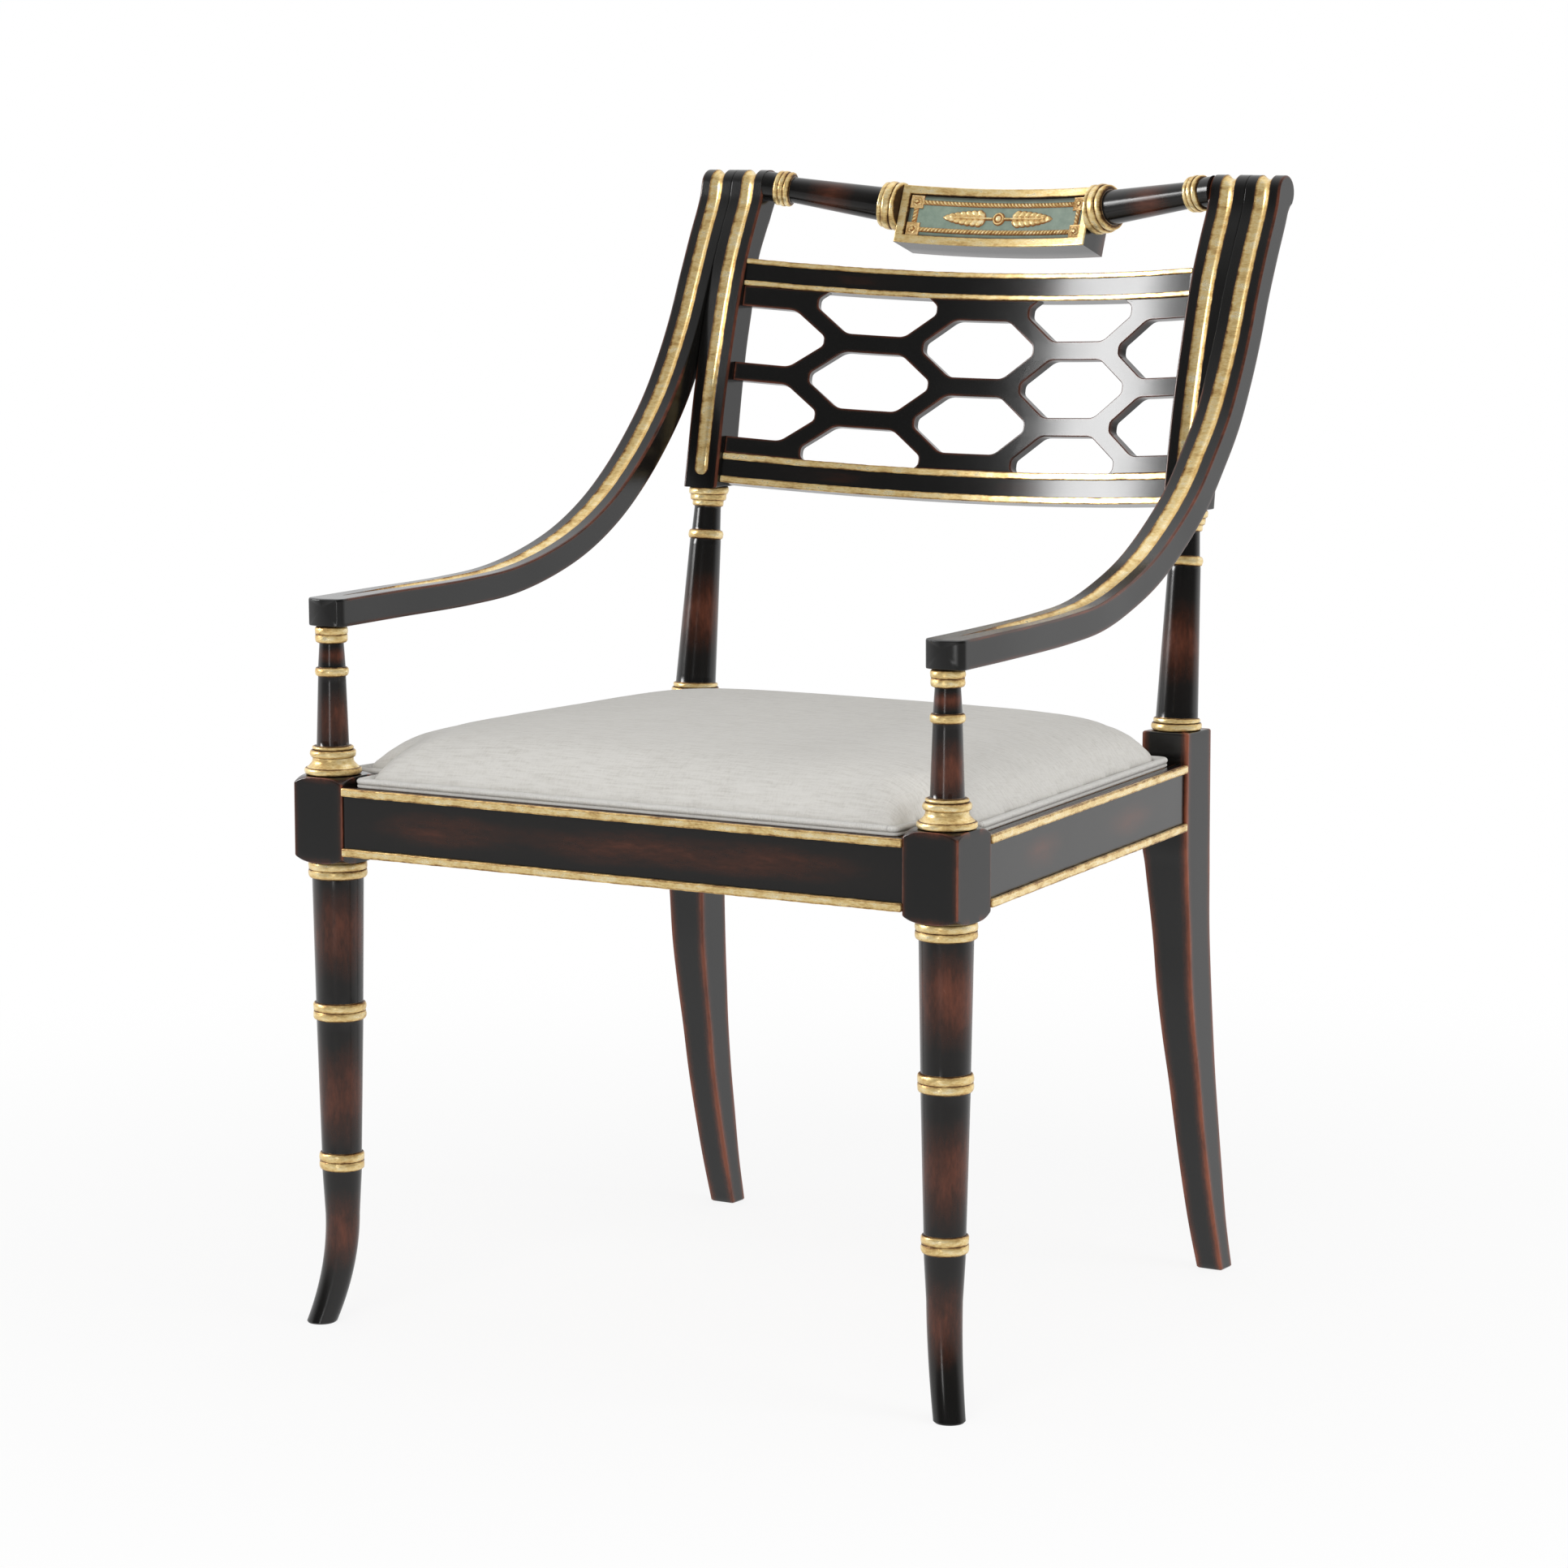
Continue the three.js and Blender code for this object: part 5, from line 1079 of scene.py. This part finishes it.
# Seat
def seat_loop(inset, step, notched=True):
    """Plan of the drop-in seat as evenly spaced points with their outward normals.

    Its corners are rounded. Without the notches for the leg blocks, the four sides meet.
    """
    form = SEAT
    half = [
        (form.front_x, form.front_y), (form.front_x, form.notch_y), (form.side_x, form.notch_y),
        (form.side_back_x, form.side_back_y), (form.tongue_x, form.side_back_y), (form.tongue_x, form.back_y),
    ]
    if not notched:
        slope = (form.side_back_x - form.side_x) / (form.side_back_y - form.notch_y)
        half = [(form.side_x + slope * (y - form.notch_y), y) for y in (form.front_y, form.back_y)]
    corners = np.array(half + [(-x, y) for x, y in half[::-1]])
    corners = inset_loop(corners, inset)
    outline, _ = rounded(corners, form.corner, land=0.5, steps=9)
    closed = np.vstack([outline, outline[:1]])
    around = travelled(closed)[-1]
    spots = np.linspace(0.0, around, int(around / step), endpoint=False)
    loop = resampled(closed, spots)
    ahead = unit(np.roll(loop, -1, axis=0) - np.roll(loop, 1, axis=0))
    return loop, joined(ahead[:, 1], -ahead[:, 0]), spots


def edge_distance(points, loop):
    """Soft distance of each point to a closed loop: (pi / 2 / sum of (step / distance^4)) ^ (1 / 3).

    Beside one long edge it is the plain distance. Where two edges are near it is less than either,
    so that the pad has no ridge on the line between them.
    """
    following = np.roll(loop, -1, axis=0)
    steps = np.linalg.norm(following - loop, axis=1)
    away = np.linalg.norm(points[:, None] - (loop + following) / 2, axis=2)
    return (pi / 2 / (steps / np.maximum(away, 0.5) ** 4).sum(axis=1)) ** (1 / 3)


def pad_shape():
    """The pad before it is stuffed: rings drawn in towards the middle of the seat.

    The height rises from the welt in a quarter ellipse over the rim. In it the notches for the leg
    blocks count for a half, and a short steep rise closes the pad beside them. A broad crown, a
    product of two blunt powers of x and y, is added.
    """
    loop = seat_loop(PAD.edge, 5.0)[0]
    border, plain_border = [seat_loop(PAD.edge, 3.0, notched)[0] for notched in (True, False)]
    centre = np.array([0.0, (SEAT.front_y + SEAT.back_y) / 2])
    half_depth = (SEAT.back_y - SEAT.front_y) / 2
    edge = PAD.foot + PAD.lip
    rings = []
    for share, height in ((1 - PAD.draw_in / SEAT.side_x, PAD.foot), (1.0, edge)):
        rings.append(joined(*(centre + (loop - centre) * share).T, height))
    for share in np.concatenate([[0.993, 0.986, 0.975], np.linspace(0.96, 0.02, 44)]):
        spots = centre + (loop - centre) * share
        near = edge_distance(spots, border)
        inwards = mix(edge_distance(spots, plain_border), near, 0.5)
        rise = PAD.rim * quarter_ellipse(inwards / PAD.rim_width) * quarter_ellipse(near / PAD.notch_width)
        across = 1 - np.abs(spots[:, 0] / SEAT.side_x) ** 3.8
        along = 1 - np.abs((spots[:, 1] - centre[1]) / half_depth) ** 5
        rings.append(joined(*spots.T, edge + rise + (PAD.crown - PAD.swell) * across * along))
    return skin("seat_pad", np.array(rings))


def stuff(pad):
    """Cloth under pressure: the pad is remeshed and blown up, each point by no more than the swell."""
    rebuild = pad.modifiers.new("remesh", "REMESH")
    rebuild.mode = "VOXEL"
    rebuild.voxel_size = 6 * MM
    bake_modifiers(pad)
    rest = coordinates(pad.data)
    shift = 0 * rest
    cloth = pad.modifiers.new("cloth", "CLOTH")
    cloth.settings.use_pressure = True
    cloth.settings.uniform_pressure_force = 4
    cloth.settings.quality = 5
    cloth.settings.effector_weights.gravity = 0
    cloth.collision_settings.use_self_collision = False
    cloth.point_cache.frame_start = 1
    cloth.point_cache.frame_end = CLOTH_FRAMES
    for frame_number in range(1, CLOTH_FRAMES + 1):
        bpy.context.scene.frame_set(frame_number)
    blown = pad.evaluated_get(bpy.context.evaluated_depsgraph_get())
    shift = coordinates(blown.data) - rest
    pad.modifiers.remove(cloth)
    bpy.context.scene.frame_set(1)
    size = np.linalg.norm(shift, axis=1)[:, None]
    shift *= np.minimum(1.0, PAD.swell * MM / np.maximum(size, 1e-9))
    shift *= smooth(rest[:, 2:3] / MM, PAD.foot + 2.0, PAD.foot + 16.0)
    pad.data.vertices.foreach_set("co", (rest + shift).ravel())
    finer_mesh = pad.modifiers.new("finer", "SUBSURF")
    finer_mesh.levels = finer_mesh.render_levels = 1
    bake_modifiers(pad)
    pad.data.shade_smooth()


def bake_modifiers(piece):
    """Keeps the shape that a piece's modifiers give it, and clears them."""
    shaped = bpy.data.meshes.new_from_object(piece.evaluated_get(bpy.context.evaluated_depsgraph_get()))
    piece.modifiers.clear()
    piece.data = shaped


def cushion(finish):
    pad = pad_shape()
    stuff(pad)
    dress(pad, finish, "seat_cushion")


def welt(finish):
    """A ribbed band above a thin lip, carried round the edge of the seat."""
    band = [
        (-5.6, 0.0), (-0.3, 0.0), (0.1, 0.8), (0.0, 1.9), (-0.7, 2.4), (-0.2, 3.0), (0.5, 4.4), (0.3, 5.9),
        (-1.2, 7.2), (-3.4, 7.4), (-6.4, 5.2), (-6.8, 2.0),
    ]
    outwards, height = through(band + band[:1], 4)[:-1].T
    loop, outward, spots = seat_loop(0.0, 1.4)
    plan = loop[:, None] + outward[:, None] * outwards[:, None]
    rows = joined(plan[..., 0], plan[..., 1], PAD.foot + height)
    ribbed = smooth(height, 2.8, 3.6) * (outwards > -5.5)
    # Painted shade in the groove between band and lip.
    marks = {"along": (spots * MM)[:, None], "ribbed": ribbed[None], "hollow": bell(height - 2.4, 0.55)[None]}
    piece = skin("welt_band", rows, marks, looped=True, crease=60.0)
    dress(piece, finish, "seat_welt")


# Finishes
class Wire:
    """A shader socket. Sums with it add Math nodes to its finish."""

    def __init__(self, finish, socket):
        self.finish = finish
        self.socket = socket

    def math(self, operation, first, second):
        return self.finish.node("Math", {"operation": operation}, {0: first, 1: second})

    def __add__(self, other):
        return self.math("ADD", self, other)

    def __sub__(self, other):
        return self.math("SUBTRACT", self, other)

    def __rsub__(self, other):
        return self.math("SUBTRACT", other, self)

    def __mul__(self, other):
        return self.math("MULTIPLY", self, other)

    __radd__ = __add__
    __rmul__ = __mul__

    def between(self, low, high):
        """0 at low, 1 at high, and an S curve between."""
        span = {"Value": self, "From Min": low, "From Max": high}
        return self.finish.node("MapRange", {"interpolation_type": "SMOOTHSTEP"}, span)


class Finish:
    """A material with its Principled shader, and one way to add any other node."""

    def __init__(self, name, **constants):
        self.material = bpy.data.materials.new(name)
        self.material.use_nodes = True
        self.tree = self.material.node_tree
        self.shader = self.tree.nodes["Principled BSDF"]
        for socket, value in constants.items():
            self.shader.inputs[socket.replace("_", " ")].default_value = value

    def node(self, kind, settings=(), inputs=(), output=0):
        node = self.tree.nodes.new(f"ShaderNode{kind}")
        for name, value in dict(settings).items():
            if name == "stops":
                while len(node.color_ramp.elements) < len(value):
                    node.color_ramp.elements.new(0.5)
                for element, (place, color) in zip(node.color_ramp.elements, value):
                    element.position = place
                    element.color = (*color, 1.0)
            else:
                setattr(node, name, value)
        for name, value in dict(inputs).items():
            if isinstance(value, Wire):
                self.tree.links.new(value.socket, node.inputs[name])
            else:
                node.inputs[name].default_value = value
        return Wire(self, node.outputs[output])

    def marks(self, *names):
        return [self.node("Attribute", {"attribute_name": name}, output="Fac") for name in names]

    def place(self, stretch=(1.0, 1.0, 1.0)):
        """Object coordinates, stretched so that a pattern on them runs along an axis."""
        at = self.node("TexCoord", output="Object")
        return self.node("Mapping", inputs={"Vector": at, "Scale": stretch})

    def noise(self, at, size, detail=3.0, roughness=0.5):
        """Noise whose lumps measure the given number of millimetres."""
        inputs = {"Vector": at, "Scale": 1 / (size * MM), "Detail": detail, "Roughness": roughness}
        return self.node("TexNoise", inputs=inputs)

    def blend(self, share, first, second):
        """Colours mixed by a share."""
        first, second = [(*color, 1.0) if isinstance(color, tuple) else color for color in (first, second)]
        return self.node("Mix", {"data_type": "RGBA"}, {0: share, 6: first, 7: second}, output=2)

    def between(self, share, first, second):
        """Numbers mixed by a share."""
        return self.node("Mix", {}, {0: share, 2: first, 3: second})

    def ramp(self, value, *stops):
        return self.node("ValToRGB", {"stops": stops}, {"Fac": value})

    def bump(self, height, distance, strength=1.0, under=None):
        inputs = {"Height": height, "Distance": distance * MM, "Strength": strength}
        if under:
            inputs["Normal"] = under
        return self.node("Bump", inputs=inputs)

    def feed(self, **sockets):
        for socket, wire in sockets.items():
            self.tree.links.new(wire.socket, self.shader.inputs[socket.replace("_", " ")])
        return self.material


def lacquer_colour(finish, along, rub):
    """Black lacquer that thins to dark brown and to red-brown where it is rubbed."""
    grain = finish.noise(along, 3.0, 5.0, 0.65)
    cloud = finish.noise(along, 16.0, 4.0, 0.6)
    thin = rub * (0.3 + 1.1 * cloud) + (grain - 0.5) * 0.3 * rub.between(0.05, 0.5)
    stops = ((0.0, (0.006, 0.0058, 0.0055)), (0.2, (0.0085, 0.007, 0.0062)), (0.42, (0.04, 0.013, 0.007)))
    return finish.ramp(thin, *stops, (0.66, (0.12, 0.033, 0.016)), (0.95, (0.24, 0.066, 0.03))), thin


def gilt_colour(finish, at, hollow):
    """Gold leaf over brown size: mottled, with painted shade in the hollows and small worn spots."""
    mottle = finish.noise(at, 6.0, 5.0, 0.62)
    speck = finish.noise(at, 1.1, 3.0, 0.6)
    tone = (mottle - 0.5) * 0.85 + (speck - 0.5) * 0.4 + 0.57 - hollow * 0.55
    stops = ((0.08, (0.05, 0.024, 0.01)), (0.25, (0.24, 0.12, 0.04)), (0.4, (0.62, 0.40, 0.15)))
    gold = finish.ramp(tone, *stops, (0.55, (0.88, 0.66, 0.29)), (0.75, (1.0, 0.88, 0.58)))
    return gold, tone, speck


def ebonised_and_gilt(name, grain):
    """Gloss black lacquer with gold leaf wherever the surface is marked gilt."""
    finish = Finish(name, IOR=1.5)
    at = finish.place()
    gilt, hollow, rub = finish.marks("gilt", "hollow", "rub")
    black, thin = lacquer_colour(finish, finish.place(grain), rub)
    gold, tone, speck = gilt_colour(finish, finish.place((0.35, 0.35, 1.0)), hollow)
    ragged = finish.noise(at, 2.6, 3.0)
    leaf = (gilt + (ragged - 0.5) * 0.35).between(0.42, 0.56)
    colour = finish.blend(leaf, black, gold)
    polish = finish.noise(at, 45.0, 3.0)
    dull = 0.15 + polish * 0.08 + thin.between(0.35, 0.9) * 0.14
    roughness = finish.between(leaf, dull, 0.48 - tone * 0.3)
    ripple = finish.bump(finish.noise(at, 30.0, 2.0), 0.12, 0.35)
    laid = finish.bump(tone + speck * 0.5, 0.09, leaf * 0.7, ripple)
    return finish.feed(Base_Color=colour, Roughness=roughness, Metallic=leaf * 0.6, Normal=laid)


def painted_panel():
    """Mottled sage paint, and orange-gold carving."""
    finish = Finish("sage_paint_and_gilt", IOR=1.45)
    at = finish.place()
    gilt, hollow, shade = finish.marks("gilt", "hollow", "rub")
    mottle = finish.noise(at, 9.0, 5.0, 0.65)
    paint = finish.ramp(mottle, (0.3, (0.18, 0.25, 0.20)), (0.7, (0.27, 0.345, 0.275)))
    # Painted shadow: the paint darkens towards the field's edges, under the border.
    paint = finish.blend(shade * 0.8, paint, (0.05, 0.05, 0.034))
    gold = gilt_colour(finish, at, hollow * 0.3)[0]
    # Painted shade: the gold turns orange-brown on the carving's slopes and low ground.
    warm = finish.blend(hollow.between(0.1, 0.9), gold, (0.40, 0.14, 0.04))
    leaf = gilt.between(0.3, 0.7)
    colour = finish.blend(leaf, paint, warm)
    normal = finish.bump(finish.noise(at, 1.6, 3.0), 0.12, 0.4)
    roughness = finish.between(leaf, 0.5, 0.38)
    return finish.feed(Base_Color=colour, Roughness=roughness, Metallic=leaf * 0.3, Normal=normal)


def threads(finish):
    """Woven cloth: long slubs across the seat, and fine threads along it."""
    slub = finish.noise(finish.place((0.09, 1.0, 0.3)), 1.7, 3.0, 0.65)
    return slub, finish.noise(finish.place((1.0, 0.12, 0.3)), 1.1, 2.0)


def cloth_colour(finish, tone, dark, middle, pale):
    return finish.ramp(tone, (0.3, dark), (0.5, middle), (0.72, pale))


def seat_fabric():
    """Pale warm grey cloth for the cushion."""
    finish = Finish("slubbed_cloth", **CLOTH_SURFACE, Sheen_Weight=0.12, Sheen_Roughness=0.5)
    slub, thread = threads(finish)
    tone = slub * 0.62 + thread * 0.26 + finish.noise(finish.place(), 60.0, 2.0) * 0.12
    colour = cloth_colour(finish, tone, (0.53, 0.512, 0.475), (0.645, 0.63, 0.595), (0.70, 0.688, 0.655))
    weave = finish.bump(slub * 0.7 + thread * 0.5, 0.5, 0.55)
    return finish.feed(Base_Color=colour, Normal=weave)


def welt_cloth():
    """The same cloth drawn over the welt, with ribs across the band and shade in its groove."""
    finish = Finish("ribbed_welt_cloth", **CLOTH_SURFACE)
    slub, thread = threads(finish)
    along, ribbed, hollow = finish.marks("along", "ribbed", "hollow")
    wave = finish.node("Math", {"operation": "SINE"}, {0: along * (tau / (1.5 * MM)) + thread * 2.0})
    ribs = (wave * 0.5 + 0.5) * ribbed
    tone = slub * 0.5 + thread * 0.3 + 0.12 + ribs * 0.1
    colour = cloth_colour(finish, tone, (0.50, 0.485, 0.455), (0.62, 0.608, 0.58), (0.69, 0.68, 0.65))
    colour = finish.blend(hollow * 0.4, colour, (0.16, 0.15, 0.135))
    return finish.feed(Base_Color=colour, Normal=finish.bump(ribs + slub * 0.3, 0.4, 0.6))


def bare_beech():
    finish = Finish("bare_beech", Roughness=0.65)
    grain = finish.noise(finish.place((0.15, 1.0, 1.0)), 2.4, 5.0, 0.6)
    stops = ((0.3, (0.36, 0.21, 0.11)), (0.55, (0.50, 0.32, 0.18)), (0.8, (0.58, 0.40, 0.24)))
    colour = finish.ramp(grain, *stops)
    return finish.feed(Base_Color=colour, Normal=finish.bump(grain, 0.2, 0.4))


def screw_steel():
    finish = Finish("screw_steel", Metallic=1.0)
    brushed = finish.noise(finish.place(), 0.8, 3.0)
    colour = finish.ramp(brushed, (0.3, (0.30, 0.30, 0.29)), (0.7, (0.46, 0.46, 0.45)))
    return finish.feed(Base_Color=colour, Roughness=0.25 + brushed * 0.25)


def dress_hidden_wood(beech, steel):
    """Dowels, braces, board and screws keep their CAD shapes and get their finishes."""
    for name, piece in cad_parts.items():
        if any(word in name for word in ("dowel", "brace", "board", "screw")):
            piece.data.materials.clear()
            piece.data.materials.append(steel if "screw" in name else beech)


# Studio
def stand(name, data, place, right, back):
    """Puts a lamp or a camera at a place in metres, facing away from back."""
    axes = Matrix(np.column_stack([right, np.cross(back, right), back]).tolist())
    item = bpy.data.objects.new(name, data)
    item.matrix_world = Matrix.Translation(place) @ axes.to_4x4()
    bpy.context.scene.collection.objects.link(item)
    return item


def area_light(name, place, aim, size, power, mirrored=True, lights=True):
    """A soft lamp of a width and a height in metres, aimed at a point.

    One that isn't mirrored leaves no streak on the lacquer. One that doesn't light only leaves a streak.
    """
    lamp = bpy.data.lights.new(name, "AREA")
    lamp.shape = "RECTANGLE"
    lamp.size, lamp.size_y = size
    lamp.energy = power
    back = unit(np.subtract(place, aim))
    light = stand(name, lamp, place, unit(np.cross((0.0, 0.0, 1.0), back)), back)
    light.visible_glossy = mirrored
    light.visible_diffuse = lights


def studio_world():
    """A white backdrop, an even light, and a room that mirrors brightest behind the chair."""
    world = bpy.data.worlds.new("studio")
    bpy.context.scene.world = world
    world.use_nodes = True
    studio = Finish.__new__(Finish)
    studio.tree = world.node_tree
    direction = studio.node("TexCoord", output="Generated")
    x, y, z = [studio.node("SeparateXYZ", inputs={0: direction}, output=axis) for axis in "XYZ"]
    behind = (y * cos(VIEW.azimuth) - x * sin(VIEW.azimuth)).between(-0.45, 0.5)
    above = z.between(0.3, 1.0)
    mirrored = studio.node("LightPath", output="Is Glossy Ray")
    seen = studio.node("LightPath", output="Is Camera Ray")
    lit = studio.between(mirrored, 0.6, 0.08 + behind * 0.92 + above * 0.2)
    strength = studio.between(seen, lit, 1.0)
    background = world.node_tree.nodes["Background"]
    background.inputs["Color"].default_value = WHITE
    world.node_tree.links.new(strength.socket, background.inputs["Strength"])


def floor():
    """A wide pale floor that shows nearly white to the camera and keeps a soft shadow."""
    finish = Finish("pale_floor", Base_Color=(0.86, 0.86, 0.86, 1.0), Roughness=0.8, Specular_IOR_Level=0.1)
    seen = finish.node("LightPath", output="Is Camera Ray")
    mirrored = finish.node("LightPath", output="Is Glossy Ray")
    place = finish.place()
    away = finish.node("VectorMath", {"operation": "LENGTH"}, {0: place}, output="Value")
    line = (-sin(VIEW.azimuth), cos(VIEW.azimuth), 0.0)
    behind = finish.node("VectorMath", {"operation": "DOT_PRODUCT"}, {0: place, 1: line}, output="Value")
    # For reflected rays the floor glows as a light of its own, brightest behind the chair.
    strength = seen + mirrored * (0.42 + behind.between(-1.6, 0.6) * 0.58)
    glow = finish.node("Emission", inputs={"Color": WHITE, "Strength": strength})
    share = seen * (0.86 + away.between(0.4, 1.6) * 0.14) + mirrored * 0.9
    surface = Wire(finish, finish.shader.outputs[0])
    both = finish.node("MixShader", inputs={0: share, 1: surface, 2: glow})
    finish.tree.links.new(both.socket, finish.tree.nodes["Material Output"].inputs["Surface"])
    mesh = bpy.data.meshes.new("studio_floor")
    corners = [(x * FLOOR_REACH, y * FLOOR_REACH, 0) for x, y in ((-1, -1), (1, -1), (1, 1), (-1, 1))]
    mesh.from_pydata(corners, [], [(0, 1, 2, 3)])
    mesh.materials.append(finish.material)
    ground = bpy.data.objects.new("studio_floor", mesh)
    bpy.context.scene.collection.objects.link(ground)


def camera():
    """The photograph's view: the eye, the focal length in pixels and the middle of the lens."""
    view = VIEW
    level = cos(view.elevation)
    back = np.array([sin(view.azimuth) * level, -cos(view.azimuth) * level, sin(view.elevation)])
    right = np.array([cos(view.azimuth), sin(view.azimuth), 0.0])
    lens = bpy.data.cameras.new("photo_view")
    lens.sensor_width = 36.0
    lens.lens = 36.0 * view.focal / view.frame
    lens.shift_x = (view.frame / 2 - view.centre[0]) / view.frame
    lens.shift_y = (view.centre[1] - view.frame / 2) / view.frame
    bpy.context.scene.camera = stand("photo_view", lens, view.eye, right, back)


camera()
lacquer = ebonised_and_gilt("ebonised_and_gilt", (1.0, 1.0, 0.3))
bar_lacquer = ebonised_and_gilt("ebonised_and_gilt_bars", (0.25, 0.25, 1.0))
front_legs(lacquer)
arm_posts(lacquer)
back_columns(lacquer)
crest_rods(bar_lacquer)
uprights(lacquer)
arms(bar_lacquer)
back_legs(lacquer)
seat_rails(bar_lacquer)
mouldings(bar_lacquer)
back_rails(bar_lacquer)
lattice(bar_lacquer)
tablet(bar_lacquer)
crest_panel(painted_panel())
cushion(seat_fabric())
welt(welt_cloth())
dress_hidden_wood(bare_beech(), screw_steel())
studio_world()
floor()
area_light("left_softbox", (-2.9, -1.75, 1.75), (0.1, 0.2, 0.75), (1.15, 1.4), 88.0, lights=False)
area_light("front_fill", (0.8, -3.4, 2.6), (0.0, 0.0, 0.4), (2.2, 2.2), 60.0, mirrored=False)
area_light("right_fill", (3.0, 0.0, 1.6), (0.0, 0.0, 0.5), (1.6, 1.6), 34.0, mirrored=False)
area_light("low_strip", (0.52, -3.3, 0.4), (0.0, 0.0, 0.5), (0.3, 0.75), 4.0, lights=False)
bpy.context.scene.view_settings.view_transform = "Standard"
